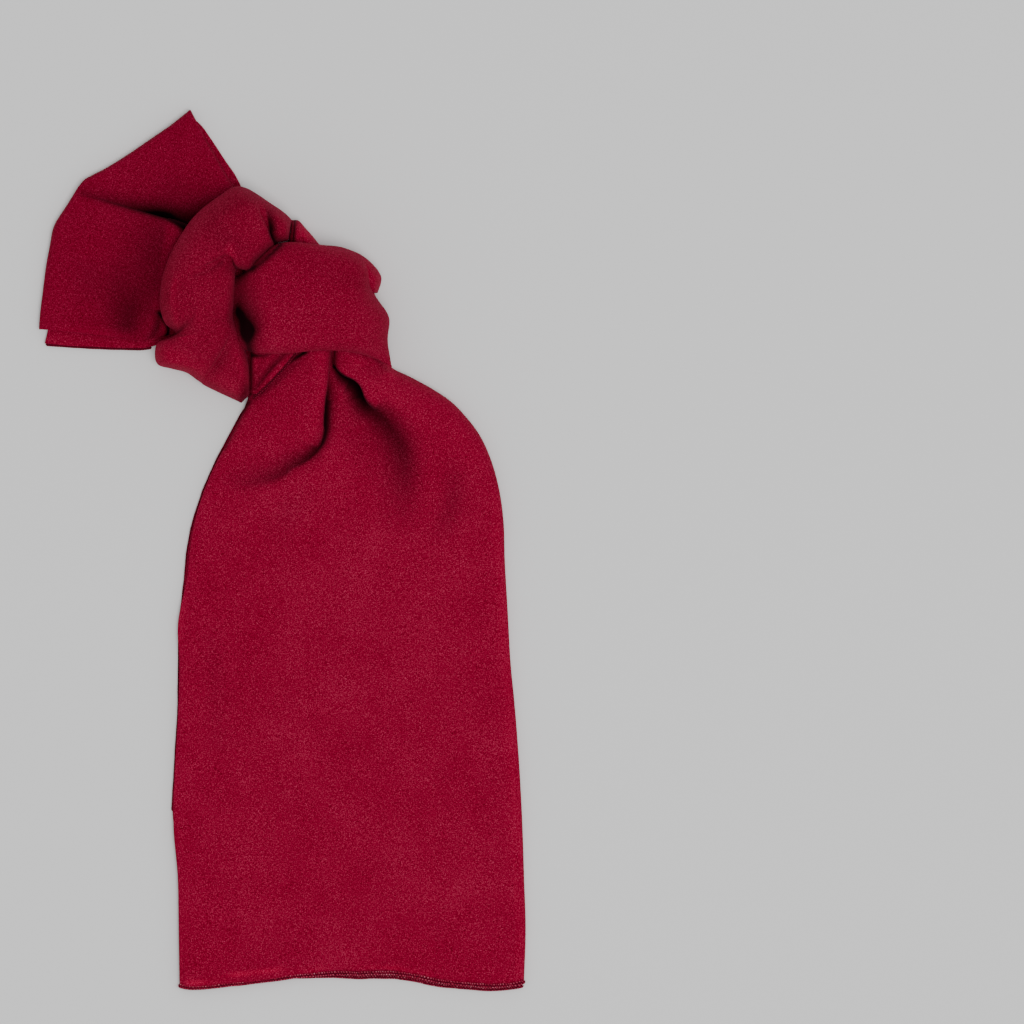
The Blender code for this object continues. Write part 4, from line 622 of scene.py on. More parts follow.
def creases(x, y, folds):
    """Sum of the creases: each has a curved line, and depth * exp(-(distance / width) ** soft)."""
    total = np.zeros_like(x)
    for path in paths(folds, FOLD_COLUMNS):
        reach = FOLD_REACH * path[3:5].max()
        near, (depth, left, right, soft), away, _, side = beside(x, y, path, reach)
        # The widths change over from one side to the other through the ends, without a step.
        width = (left + right) / 2 + (left - right) / 2 * side
        total[near] += depth * np.exp(-((away / width) ** soft))
    return total


def lips(x, y, edges):
    """How far cloth beside a crease is pushed over it: a plan shift for each point.

    On one side of the line the shift is
    most * (1 - exp(-(away / rise) ** 2)) * exp(-(away / reach) ** 2).
    """
    shift = np.zeros((*x.shape, 2))
    for path in paths(edges, LIP_COLUMNS):
        near, (most, rise, reach), away, way, side = beside(x, y, path, LIP_REACH * path[4].max())
        on = np.clip(side * np.sign(most), 0, 1)
        amount = np.abs(most) * on * (1 - np.exp(-((away / rise) ** 2)))
        amount = amount * np.exp(-((away / reach) ** 2))
        shift[near] += way * amount[:, None]
    return shift


def pushes(x, y, table):
    """Plan shift of points: a row pushes what is round its place by (dx, dy) * exp(-(r / size) ** 2)."""
    shift = np.zeros((*x.shape, 2))
    for px, py, dx, dy, size in table:
        fall = np.exp(-((x - px) ** 2 + (y - py) ** 2) / size**2)
        shift += fall[..., None] * (dx, dy)
    return shift


def waves(x, y, strength=1.0):
    """Sum of low sine waves that run in several directions."""
    total = np.zeros_like(x)
    for high, size, way, start in WAVES:
        total += high * np.sin(2 * np.pi * (x * np.cos(way) + y * np.sin(way)) / size + start)
    return total * strength


def side_steps(rolled):
    """Distances in from a rolled side's widest point, and the share of the height there."""
    angle = np.linspace(0, 1, rolled + 1) * np.pi / 2
    return 1 - np.cos(angle), np.sin(angle)


def fading(away, roll):
    """How far the foot is pushed in, at a distance from a rolled edge."""
    most = np.minimum(TURN * roll, MOST_TURN)
    return most * np.clip(1 - away / np.maximum(FOLDED_BACK * most, 0.01), 0, 1)


def patch_faces(number):
    """Faces of four corners over a grid whose points have these numbers."""
    corners = (number[:-1, :-1], number[:-1, 1:], number[1:, 1:], number[1:, :-1])
    return np.stack(corners, -1).reshape(-1, 4)


def tube_faces(rings, around):
    """Faces of four corners between each ring of points and the next."""
    here = np.arange(around)
    beyond = np.roll(here, -1)
    ring = np.arange(rings - 1)[:, None] * around
    corners = (ring + here, ring + beyond, ring + around + beyond, ring + around + here)
    return np.stack(corners, axis=-1).reshape(-1, 4)


class Stretch:
    """How a stretch of cloth is laid out.

    rows is its table, and nv and nu are how many sections and points across it has. sides says
    which sides roll over, and ends how far each end does. rolled is the steps of such a roll, and
    under those below its widest point. foot is the power with which the foot's height goes from a
    to b. keep names rows that get a section of their own. dense is a share of the length and the
    share of the sections that lies in it. uneven is the strength of the waves. The last argument
    is its table of painted shade and painted light.
    """

    def __init__(self, rows, nv, nu, folds=(), sides=(True, True), ends=(0.0, 0.0), rolled=6,
                 foot=1, keep=(), dense=None, uneven=0.0, under=5, over=(), push=(), painted_shades_lights=()):
        self.rows, self.nv, self.nu, self.folds, self.over = rows, nv, nu, folds, over
        self.sides, self.ends, self.rolled, self.foot = sides, ends, rolled, foot
        self.keep, self.dense, self.uneven, self.under, self.push = keep, dense, uneven, under, push
        self.painted_shades_lights = painted_shades_lights


def skin(s, shift=None):
    """A stretch's outer face: its grid of points, and rows of points that turn under its edges."""
    rows, sides, ends = s.rows, s.sides, s.ends
    whole = middle_length(rows)
    open_side = (np.zeros(1), np.ones(1))
    begin, level_begin = side_steps(s.rolled) if ends[0] else open_side
    finish, level_finish = side_steps(s.rolled) if ends[1] else open_side
    begin, finish = begin * ends[0], finish * ends[1]
    spread = np.linspace(0, 1, s.nv)
    if s.dense:
        spread = np.interp(spread, (0, s.dense[1], 1), (0, s.dense[0], 1))
        kernel = np.ones(9) / 9
        spread[4:-4] = np.convolve(spread, kernel, mode="valid")
    middle = (begin[-1] + (whole - finish[-1] - begin[-1]) * spread)[1:-1]
    for row in s.keep:
        here = distances(rows)[row] / distances(rows)[-1] * whole
        middle[np.abs(middle - here).argmin()] = here
    along = np.concatenate([begin, middle, (whole - finish)[::-1]])
    level_v = np.concatenate([level_begin, np.ones(len(middle)), level_finish[::-1]])[:, None]
    c = dict(zip(COLUMNS, blend(rows, along / whole).T[:, :, None]))
    width = np.hypot(c["bx"] - c["ax"], c["by"] - c["ay"])
    ra, rb = (
        np.minimum(np.maximum(c[roll], LEAST_ROLL), MOST_ROLL * width) if rolls else 0 * width
        for roll, rolls in zip(("ra", "rb"), sides))
    unit_a, level_a = side_steps(s.rolled) if sides[0] else open_side
    unit_b, level_b = side_steps(s.rolled) if sides[1] else open_side
    between = ra + (width - ra - rb) * np.linspace(0, 1, s.nu)[None, 1:-1]
    across = np.concatenate([ra * unit_a, between, width - (rb * unit_b)[:, ::-1]], axis=1)
    level_u = np.concatenate([level_a, np.ones(s.nu - 2), level_b[::-1]])[None, :]
    u = across / width
    bowed = 4 * u * (1 - u) * c["bow"]
    x = c["ax"] + (c["bx"] - c["ax"]) * u - (c["by"] - c["ay"]) / width * bowed
    y = c["ay"] + (c["by"] - c["ay"]) * u + (c["bx"] - c["ax"]) / width * bowed
    if shift is not None:
        y = y + shift(x, y)
    arch = c["zm"] - (c["za"] + c["zb"]) / 2
    top = c["za"] + (c["zb"] - c["za"]) * u + arch * (1 - (2 * u - 1) ** 2)
    top = top - creases(x, y, s.folds) + waves(x, y, s.uneven)
    low = np.maximum(c["fa"] + (c["fb"] - c["fa"]) * u**s.foot, 0)
    top = np.maximum(top, low + LEAST_DEPTH)
    side = low + BELLY * (top - low)
    z = side + (top - side) * level_u * level_v
    plan = np.stack([x, y], axis=-1) + lips(x, y, s.over) + pushes(x, y, s.push)
    ways = np.gradient(plan, axis=(0, 1))
    ways = [g / np.maximum(np.linalg.norm(g, axis=-1), 1e-6)[..., None] for g in ways]
    along = along[:, None]
    push_v = fading(along - along[0], ends[0]) - fading(along[-1] - along, ends[1])
    push_u = fading(across - across[:, :1], ra) - fading(across[:, -1:] - across, rb)
    inward = ways[0] * push_v[..., None] + ways[1] * push_u[..., None]
    # Rows under an edge: in by 1 - cos and down by sin of an angle that grows to a right angle.
    turn = np.linspace(0, 1, s.under + 1)[1:] * np.pi / 2
    hem_plan = plan[None] + inward[None] * (1 - np.cos(turn))[:, None, None, None]
    hem_z = side[None] + (low - side)[None] * np.sin(turn)[:, None, None]
    grid = np.concatenate([plan, z[..., None]], axis=-1)
    return grid, np.concatenate([hem_plan, hem_z[..., None]], axis=-1)


def lay(s, shift=None):
    """A stretch's points and faces: outer and inner faces, joined along their rim.

    Each inner point is its outer point moved in by the thickness of the cloth, square to the face.
    """
    grid, feet = skin(s, shift)
    n, m = grid.shape[:2]
    index = np.arange(n * m).reshape(n, m)
    below = np.zeros((n, m), bool)
    runs = []
    if s.sides[0]:
        below[:, 0] = True
        runs.append(index[:, 0])
    if s.ends[1]:
        below[-1] = True
        runs.append(index[-1])
    if s.sides[1]:
        below[:, -1] = True
        runs.append(index[::-1, -1])
    if s.ends[0]:
        below[0] = True
        runs.append(index[0, ::-1])
    size = below.sum()
    number = np.zeros((s.under + 1, n * m), int)
    number[0] = np.arange(n * m)
    number[1:, below.ravel()] = n * m + np.arange(s.under * size).reshape(s.under, size)
    quads = [patch_faces(index)]
    for k in runs:
        for row in range(s.under):
            up, down = number[row], number[row + 1]
            quads.append(np.stack([up[k[:-1]], up[k[1:]], down[k[1:]], down[k[:-1]]], -1))
    quads = np.concatenate(quads)
    outer = np.concatenate([grid.reshape(-1, 3), feet[:, below].reshape(-1, 3)])
    normal = np.zeros_like(outer)
    p = outer[quads]
    turned = np.cross(p[:, 2] - p[:, 0], p[:, 3] - p[:, 1])
    for corner in range(4):
        np.add.at(normal, quads[:, corner], turned)
    normal /= np.maximum(np.linalg.norm(normal, axis=1), 1e-9)[:, None]
    if normal[: n * m, 2].mean() < 0:
        normal = -normal
    inner = outer - CLOTH * normal
    inner[:, 2] = np.maximum(inner[:, 2], 0)
    edges = np.stack([quads, np.roll(quads, -1, axis=1)], -1).reshape(-1, 2)
    key = np.sort(edges, axis=1) @ (len(outer), 1)
    found, first, count = np.unique(key, return_index=True, return_counts=True)
    rim = edges[first[count == 1]]
    size = len(outer)
    rims = np.stack([rim[:, 1], rim[:, 0], rim[:, 0] + size, rim[:, 1] + size], -1)
    # The cloth's own measure: lengths of thread along it and across it, for the weave.
    step_v = np.linalg.norm(np.diff(grid, axis=0), axis=-1)
    step_u = np.linalg.norm(np.diff(grid, axis=1), axis=-1)
    v = np.concatenate([np.zeros((1, m)), np.cumsum(step_v, axis=0)])
    u = np.concatenate([np.zeros((n, 1)), np.cumsum(step_u, axis=1)], axis=1)
    v, u = np.broadcast_to(v.mean(axis=1)[:, None], (n, m)), u - u[:, m // 2][:, None]
    weave = np.stack([u, v], axis=-1)
    turned_under = [weave[below] + UNDER_STEP * (row + 1) for row in range(s.under)]
    weave = np.concatenate([weave.reshape(-1, 2), *turned_under])
    faces = np.concatenate([quads, quads[:, ::-1] + size, rims])
    # Painted shade in the folds and painted light on edges and faces: one amount for each point.
    painted_shade_light = np.clip(creases(outer[:, 0], outer[:, 1], s.painted_shades_lights), -1, 1)
    return {
        "grid": grid,
        "inner": inner[: n * m],
        "points": np.concatenate([outer, inner]),
        "faces": faces,
        "painted_shade_light": np.concatenate([painted_shade_light, painted_shade_light]),
        "weave": np.concatenate([weave, weave]),
    }


def put(name, points, faces, finish, weave=None, smooth=True):
    """A mesh object from arrays in millimetres; faces of four corners, facing outwards."""
    points, faces = np.asarray(points, float), np.asarray(faces)
    p = points[faces]
    volume = (p[:, 0] * np.cross(p[:, 1], p[:, 2])).sum()
    volume += (p[:, 0] * np.cross(p[:, 2], p[:, 3])).sum()
    if volume < 0:
        faces = faces[:, ::-1]
    mesh = bpy.data.meshes.new(name)
    mesh.vertices.add(len(points))
    mesh.vertices.foreach_set("co", (points * MM).ravel())
    mesh.loops.add(faces.size)
    mesh.loops.foreach_set("vertex_index", faces.ravel())
    mesh.polygons.add(len(faces))
    mesh.polygons.foreach_set("loop_start", np.arange(len(faces)) * 4)
    mesh.update(calc_edges=True)
    mesh.polygons.foreach_set("use_smooth", np.full(len(faces), smooth))
    if weave is not None:
        layer = mesh.uv_layers.new(name="weave")
        layer.data.foreach_set("uv", (weave[faces.ravel()] * MM).ravel())
    mesh.materials.append(finish)
    mesh.validate()
    made = bpy.data.objects.new(name, mesh)
    bpy.context.scene.collection.objects.link(made)
    return made


def mark(made, name, values):
    """Keeps a value for each point of a mesh."""
    layer = made.data.attributes.new(name, "FLOAT", "POINT")
    layer.data.foreach_set("value", np.asarray(values, float).ravel())


def dress(made, node):
    """Hangs a piece on the root body, and hides the solid that it stands for."""
    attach(made, "root")
    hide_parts(node)


def cloth_piece(name, s, finish, shift=None):
    """A stretch of cloth as a piece of the scarf, with its painted shade and light kept with its points.
    """
    shape = lay(s, shift)
    made = put(name, shape["points"], shape["faces"], finish, shape["weave"])
    mark(made, "painted_shade_light", shape["painted_shade_light"])
    return made, shape


def cells_at(x, y):
    """The cells of the roof map that points lie in."""
    i = np.clip(((x - ROOF_X) / CELL).astype(int), 0, CELLS_X - 1)
    j = np.clip(((y - ROOF_Y) / CELL).astype(int), 0, CELLS_Y - 1)
    return i, j


def roof_map(shapes):
    """The lowest underside over each cell of the plan, read back as a function of x and y."""
    low = np.full((CELLS_X, CELLS_Y), 1e3)
    for shape in shapes:
        p = shape["inner"].reshape(-1, 3)
        np.minimum.at(low, cells_at(p[:, 0], p[:, 1]), p[:, 2])
    for axis in (0, 1):
        low = np.minimum.reduce([np.roll(low, k, axis=axis) for k in (-1, 0, 1)])
    return lambda x, y: low[cells_at(x, y)]


def neighbours(values, axis):
    """A grid's values and those up to two steps away along an axis: five grids."""
    size = values.shape[axis]
    padded = np.pad(values, [(2, 2) if k == axis else (0, 0) for k in (0, 1)], mode="edge")
    return [np.take(padded, np.arange(size) + k, axis=axis) for k in range(5)]


def hidden_layers(name, rows, nv, nt, roof, finish, layers, end=None):
    """Folded layers as one body: sections with a flat bottom, a top under the roof, and sides.

    A side stands out by 0.75 * |sin(pi * layers * share of its height)| ** 0.6 - 0.25, which is
    a round edge for each layer.
    """
    c = dict(zip(UNDER_COLUMNS, blend(rows, np.linspace(0, 1, nv)).T[:, :, None]))
    u = (1 - np.cos(np.linspace(0, np.pi, nt)))[None, :] / 2
    x, y = c["ax"] + (c["bx"] - c["ax"]) * u, c["ay"] + (c["by"] - c["ay"]) * u
    width = np.hypot(c["bx"] - c["ax"], c["by"] - c["ay"])
    if end is not None:
        y = y + end(x, y)
    from_a = c["za"] + RISE * np.maximum(u * width - c["ma"], 0)
    from_b = c["zb"] + RISE * np.maximum((1 - u) * width - c["mb"], 0)
    top = np.minimum(np.minimum(from_a, from_b), np.minimum(c["most"], roof(x, y) - GAP))
    for axis in (0, 1):
        top = np.minimum.reduce(neighbours(top, axis))
    for axis in (0, 1):
        top = sum(neighbours(top, axis)) / 5
    top = np.maximum(top, LEAST_LAYERS)
    per = 6 * layers
    share = np.arange(1, per) / per
    out = LAYER_OUT * np.abs(np.sin(np.pi * layers * share)) ** 0.6 - LAYER_IN
    away = np.stack([x[:, 0] - x[:, -1], y[:, 0] - y[:, -1]], axis=1)
    away /= np.linalg.norm(away, axis=1)[:, None]
    sides = []
    for edge, way in ((slice(0, 1), away), (slice(-1, None), -away)):
        grow = np.minimum(top[:, edge] / (LAYER_HEIGHT * layers), 1)
        side_x, side_y = x[:, edge] + way[:, :1] * out * grow, y[:, edge] + way[:, 1:] * out * grow
        sides.append(np.stack([side_x, side_y, top[:, edge] * share], axis=-1))
    left, right = sides
    upper = np.stack([x, y, top], axis=-1)
    floor = np.stack([x, y, 0 * top], axis=-1)
    rings = np.concatenate([left, upper, right[:, ::-1], floor[:, ::-1]], axis=1)
    n = rings.shape[1]
    faces = tube_faces(nv, n)
    # Each end is closed by strips from the top line to the bottom line of its section.
    points = rings.reshape(-1, 3)
    caps = []
    for base, turned in ((0, False), ((nv - 1) * n, True)):
        ups = base + (per - 1) + np.arange(nt)
        downs = base + n - 1 - np.arange(nt)
        first = np.concatenate([[downs[0]], base + np.arange(per - 1), [ups[0]]])
        last = np.concatenate([[downs[-1]], base + per - 1 + nt + np.arange(per - 1)[::-1], [ups[-1]]])
        levels = np.linspace(0, 1, per + 1)[:, None]
        wall = points[downs][None] * (1 - levels[..., None]) + points[ups][None] * levels[..., None]
        number = len(points) + np.arange((per + 1) * nt).reshape(per + 1, nt)
        number[0], number[-1], number[:, 0], number[:, -1] = downs, ups, first, last
        points = np.concatenate([points, wall.reshape(-1, 3)])
        cap = patch_faces(number)
        caps.append(cap[:, ::-1] if turned else cap)
    faces = np.concatenate([faces, *caps])
    used = np.unique(faces)
    place = np.zeros(len(points), int)
    place[used] = np.arange(len(used))
    made = put(name, points[used], place[faces], finish, points[used][:, :2])
    return made, {"grid": upper, "inner": upper}


def ripple(s, table):
    """Sum of sine waves along a length, each with its height, its length and its start."""
    return sum(high * np.sin(s / long + start) for high, long, start in table)


def rope(name, line, finish, radius, around=16, each=8, rows=2):
    """An overlocked hem: a tube along a line, with rows of stitches that stand out as beads.

    Its radius at angle t and length s is radius * (0.76 + 0.26 * bead), where bead is
    |sin(pi * s / pitch + drift + lean)| ** 0.8 * |sin(rows * t)| ** 0.5. Every other row is half
    a stitch further on. around is the points of a ring, and each the rings of a stitch.
    """
    line = np.asarray(line, float)
    steps = np.linalg.norm(np.diff(line, axis=0), axis=1)
    d = np.concatenate([[0], np.cumsum(steps)])
    count = max(int(d[-1] / PITCH * each), 8)
    s = np.linspace(0, d[-1], count)
    smooth = np.stack([np.interp(s, d, line[:, k]) for k in range(3)], axis=1)
    width = 2 * each + 1
    padded = np.pad(smooth, ((width, width), (0, 0)), mode="reflect", reflect_type="odd")
    kernel = np.hanning(2 * width + 1)
    kernel /= kernel.sum()
    smooth = np.stack([np.convolve(padded[:, k], kernel, mode="valid") for k in range(3)], axis=1)
    tangent = np.gradient(smooth, axis=0)
    tangent /= np.linalg.norm(tangent, axis=1)[:, None]
    out = np.cross(tangent, (0, 0, 1))
    out /= np.linalg.norm(out, axis=1)[:, None]
    up = np.cross(out, tangent)
    t = np.linspace(0, 2 * np.pi, around, endpoint=False)[None, :]
    drift = ripple(s, STITCH_DRIFT)
    row = np.floor(t / np.pi * rows)
    lean = 0.9 * (t / np.pi * rows - row - 0.5)
    phase = np.pi * s[:, None] / PITCH + drift[:, None] + row * np.pi / 2 + lean
    bead = np.abs(np.sin(phase)) ** 0.8 * np.abs(np.sin(t * rows)) ** 0.5
    taper = np.sin(np.clip(np.minimum(s, d[-1] - s) / (1.2 * radius), 0.02, 1) * np.pi / 2)[:, None]
    wobble = 1 + ripple(s, HEM_WOBBLE)
    r = radius * (0.76 + 0.26 * bead) * taper * wobble[:, None]
    points = smooth[:, None] + out[:, None] * (r * np.cos(t))[..., None]
    points = points + up[:, None] * (r * np.sin(t))[..., None]
    half = np.arange(around // 2 - 1)
    end = np.stack([half, half + 1, around - 2 - half, around - 1 - half], -1)
    far_end = end[:, ::-1] + (count - 1) * around
    faces = np.concatenate([tube_faces(count, around), end, far_end])
    weave = np.stack(np.broadcast_arrays(s[:, None], t * radius), -1)
    made = put(name, points.reshape(-1, 3), faces, finish, weave.reshape(-1, 2))
    mark(made, "crest", bead)
    return made


def ramp(nodes, links, source, stops):
    """A colour ramp with the given places and colours, read at a value."""
    made = nodes.new("ShaderNodeValToRGB")
    points = made.color_ramp.elements
    while len(points) < len(stops):
        points.new(0.5)
    for point, (place, colour) in zip(points, stops):
        point.position = place
        point.color = (*colour, 1)
    links.new(source, made.inputs["Fac"])
    return made.outputs["Color"]


def arithmetic(nodes, links, kind, first, second, third=0.5):
    """The result of a sum of numbers or sockets; third is used only where kind takes three."""
    made = nodes.new("ShaderNodeMath")
    made.operation = kind
    for socket, value in zip(made.inputs, (first, second, third)):
        if isinstance(value, (int, float)):
            socket.default_value = value
        else:
            links.new(value, socket)
    return made.outputs[0]


def grain(nodes, links, place, scale, stretch_by=(1, 1, 1), detail=2.0):
    """Noise read at a place, stretched along its axes."""
    mapped = nodes.new("ShaderNodeMapping")
    mapped.inputs["Scale"].default_value = stretch_by
    links.new(place, mapped.inputs["Vector"])
    noise = nodes.new("ShaderNodeTexNoise")
    noise.inputs["Scale"].default_value = scale
    noise.inputs["Detail"].default_value = detail
    noise.inputs["Roughness"].default_value = 0.6
    links.new(mapped.outputs[0], noise.inputs["Vector"])
    return noise.outputs[0]


def crepe_finish(name, stops):
    """Crepe: a fine pebbled grain, with threads that run along and across the cloth."""
    finish = bpy.data.materials.new(name)
    finish.use_nodes = True
    nodes, links = finish.node_tree.nodes, finish.node_tree.links
    shader = next(node for node in nodes if node.type == "BSDF_PRINCIPLED")
    place = nodes.new("ShaderNodeTexCoord")
    here, weave = place.outputs["Object"], place.outputs["UV"]
    pebbles = grain(nodes, links, here, 1950.0, detail=1.5)
    fine = grain(nodes, links, here, 3300.0, detail=1.0)
    warp = grain(nodes, links, weave, 1900.0, (1.0, 0.3, 1.0), 1.0)
    weft = grain(nodes, links, weave, 1900.0, (0.3, 1.0, 1.0), 1.0)
    broad = grain(nodes, links, here, 28.0, detail=2.0)
    threads = arithmetic(nodes, links, "MULTIPLY", arithmetic(nodes, links, "ADD", warp, weft), 0.17)
    grains = arithmetic(nodes, links, "ADD", arithmetic(nodes, links, "MULTIPLY", pebbles, 0.42),
                        arithmetic(nodes, links, "MULTIPLY", fine, 0.24))
    height = arithmetic(nodes, links, "ADD", grains, threads)
    shade = arithmetic(nodes, links, "ADD", height, arithmetic(nodes, links, "MULTIPLY", broad, 0.05))
    # The painted shade and light kept with the mesh: less than nothing is painted shade in a fold,
    # more is painted light on the cloth, and most of all a pale painted highlight on an edge.
    painted_shade_light = nodes.new("ShaderNodeAttribute")
    painted_shade_light.attribute_name = "painted_shade_light"
    painted_light_factor = arithmetic(nodes, links, "ADD", painted_shade_light.outputs["Fac"], 1.0)
    painted_highlight_excess = arithmetic(nodes, links, "SUBTRACT", painted_shade_light.outputs["Fac"], 0.45)
    pale = arithmetic(nodes, links, "MAXIMUM", painted_highlight_excess, 0.0)
    dimmed = nodes.new("ShaderNodeVectorMath")
    dimmed.operation = "SCALE"
    links.new(ramp(nodes, links, shade, stops), dimmed.inputs[0])
    links.new(painted_light_factor, dimmed.inputs["Scale"])
    # The pale pink that painted highlights on edges mix towards.
    mixed = nodes.new("ShaderNodeMix")
    mixed.data_type = "RGBA"
    links.new(pale, mixed.inputs[0])
    links.new(dimmed.outputs[0], mixed.inputs[6])
    mixed.inputs[7].default_value = (0.42, 0.075, 0.12, 1)
    links.new(mixed.outputs[2], shader.inputs["Base Color"])
    bump = nodes.new("ShaderNodeBump")
    bump.inputs["Strength"].default_value = 0.35
    bump.inputs["Distance"].default_value = 0.0009
    links.new(height, bump.inputs["Height"])
    links.new(bump.outputs[0], shader.inputs["Normal"])
    shader.inputs["Roughness"].default_value = 0.85
    shader.inputs["Specular IOR Level"].default_value = 0.03
    shader.inputs["Sheen Weight"].default_value = 0.08
    shader.inputs["Sheen Roughness"].default_value = 0.55
    shader.inputs["Sheen Tint"].default_value = (1.0, 0.12, 0.26, 1)
    return finish


def thread_finish(name, stops):
    """Overlocking thread: close turns, with a painted highlight where they stand out and painted shade
    between them.
    """
    finish = bpy.data.materials.new(name)
    finish.use_nodes = True
    nodes, links = finish.node_tree.nodes, finish.node_tree.links
    shader = next(node for node in nodes if node.type == "BSDF_PRINCIPLED")
    place = nodes.new("ShaderNodeTexCoord")
    speckle = grain(nodes, links, place.outputs["Object"], 1300.0, detail=2.0)
    stitch = nodes.new("ShaderNodeAttribute")
    stitch.attribute_name = "crest"
    rise = arithmetic(nodes, links, "POWER", stitch.outputs["Fac"], 2.0)
    mixed = arithmetic(nodes, links, "ADD", arithmetic(nodes, links, "MULTIPLY", speckle, 0.9),
                       arithmetic(nodes, links, "MULTIPLY", rise, 0.45))
    links.new(ramp(nodes, links, mixed, stops), shader.inputs["Base Color"])
    bump = nodes.new("ShaderNodeBump")
    bump.inputs["Strength"].default_value = 0.4
    bump.inputs["Distance"].default_value = 0.0004
    links.new(speckle, bump.inputs["Height"])
    links.new(bump.outputs[0], shader.inputs["Normal"])
    shader.inputs["Roughness"].default_value = 0.8
    shader.inputs["Specular IOR Level"].default_value = 0.04
    return finish


# RED is the crepe's own colour; the other three are darker copies of it, painted shade.
RED = ((0.44, (0.118, 0.0002, 0.0066)), (0.55, (0.262, 0.0014, 0.0250)), (0.66, (0.47, 0.042, 0.108)))
RED_PAINTED_SHADE_SHORT = ((0.44, (0.092, 0.0002, 0.0048)), (0.55, (0.205, 0.0008, 0.0185)), (0.66, (0.36, 0.024, 0.076)))
RED_PAINTED_SHADE_LOOP = ((0.44, (0.092, 0.0003, 0.0054)), (0.55, (0.214, 0.0016, 0.0205)), (0.66, (0.39, 0.034, 0.088)))
RED_PAINTED_SHADE_LAYERS = ((0.44, (0.110, 0.0002, 0.0060)), (0.55, (0.235, 0.0011, 0.0215)), (0.66, (0.42, 0.034, 0.092)))
crepe = crepe_finish("crepe_outer", RED)
# Darker copies of the same crepe are painted shade: on the short tail, on the loop and on the hidden
# layers.
crepe_painted_shade_short = crepe_finish("crepe_painted_shade_short", RED_PAINTED_SHADE_SHORT)
crepe_painted_shade_loop = crepe_finish("crepe_painted_shade_loop", RED_PAINTED_SHADE_LOOP)
crepe_painted_shade_layers = crepe_finish("crepe_layers", RED_PAINTED_SHADE_LAYERS)
# Thread colours from dark to red, and a pale pink at the top: a painted glint where a bead stands out.
thread = thread_finish("hem_threads", (
    (0.44, (0.050, 0.0004, 0.006)), (0.66, (0.22, 0.004, 0.025)), (0.84, (0.40, 0.034, 0.080)),
    (0.98, (0.70, 0.30, 0.37))))
# A darker copy of the thread, painted shade, for the side, short-tail and inner hems.
thread_painted_shade = thread_finish("hem_threads_below", (
    (0.45, (0.040, 0.0003, 0.005)), (0.75, (0.16, 0.002, 0.018)), (1.00, (0.34, 0.036, 0.065))))

hem = np.array(HEM, float)


def end_shift(column, inset, start=-200.0):
    """Moves the end of the long tail onto a hem line, less and less up to y = start."""

    def shift(x, y):
        last_x, last_y = x[-1], y[-1]
        order = np.argsort(last_x)
        wanted = np.interp(x, hem[:, 0], hem[:, column]) + inset
        now = np.interp(x, last_x[order], last_y[order])
        return np.clip((start - y) / (start - now), 0, 1) * (wanted - now)

    return shift


# Where outlines bulge: a place, how far what is there is pushed, and how far round it.
SHORT_PUSHES = (
    (-150, 215, -2.3, 0, 11),
    (-158.5, 172, 1.9, 0, 22),
    (-70, 279.5, -0.8, -0.8, 7),
)
WRAP_PUSHES = (
    (68, 153, 5.6, 0.6, 13),
    (67.2, 156.2, 2.3, 0.3, 12),
    (70.5, 131.1, 1.0, 0, 10),
    (55.4, 183.9, 3.3, 0.5, 11),
)
LOOP_PUSHES = (
    (-20.5, 186.5, 0.8, -1.4, 4),
    (-13.3, 194.4, 0.9, -0.9, 7),
)

# The stretches of cloth that show.
long_top, long_shape = cloth_piece(
    "long_tail", Stretch(LONG, 250, 174, LONG_FOLDS, dense=(0.32, 0.58), uneven=1.0, over=LONG_LIPS,
                         painted_shades_lights=LONG_PAINTED_SHADE_LIGHT), crepe, end_shift(1, 2.1))
inner, inner_shape = cloth_piece(
    "inner_stretch", Stretch(INNER, 56, 40, INNER_FOLDS, sides=(True, False), rolled=5, uneven=0.4,
                             painted_shades_lights=INNER_PAINTED_SHADE_LIGHT), crepe)
short_top, short_shape = cloth_piece(
    "short_tail", Stretch(SHORT, 190, 210, SHORT_FOLDS, sides=(True, False), ends=(0, 3.5), keep=(6,),
                          uneven=0.9, over=SHORT_LIPS, push=SHORT_PUSHES, painted_shades_lights=SHORT_PAINTED_SHADE_LIGHT), crepe_painted_shade_short)
loop, loop_shape = cloth_piece(
    "loop", Stretch(LOOP, 330, 110, LOOP_FOLDS, ends=(3.0, 3.0), uneven=0.5, over=LOOP_LIPS,
                    push=LOOP_PUSHES, painted_shades_lights=LOOP_PAINTED_SHADE_LIGHT), crepe_painted_shade_loop)
wrap, wrap_shape = cloth_piece(
    "wrap", Stretch(WRAP, 120, 96, WRAP_FOLDS, ends=(5.0, 15.0), foot=3, uneven=0.7, rolled=8,
                    push=WRAP_PUSHES, painted_shades_lights=WRAP_PAINTED_SHADE_LIGHT), crepe)
tuck, tuck_shape = cloth_piece(
    "tuck", Stretch(TUCK, 40, 36, TUCK_FOLDS, sides=(True, False), ends=(2.5, 2.5), rolled=5,
                    painted_shades_lights=TUCK_PAINTED_SHADE_LIGHT), crepe)
lip, lip_shape = cloth_piece(
    "return", Stretch(RETURN, 36, 18, ends=(1.0, 0.3), rolled=5), crepe)

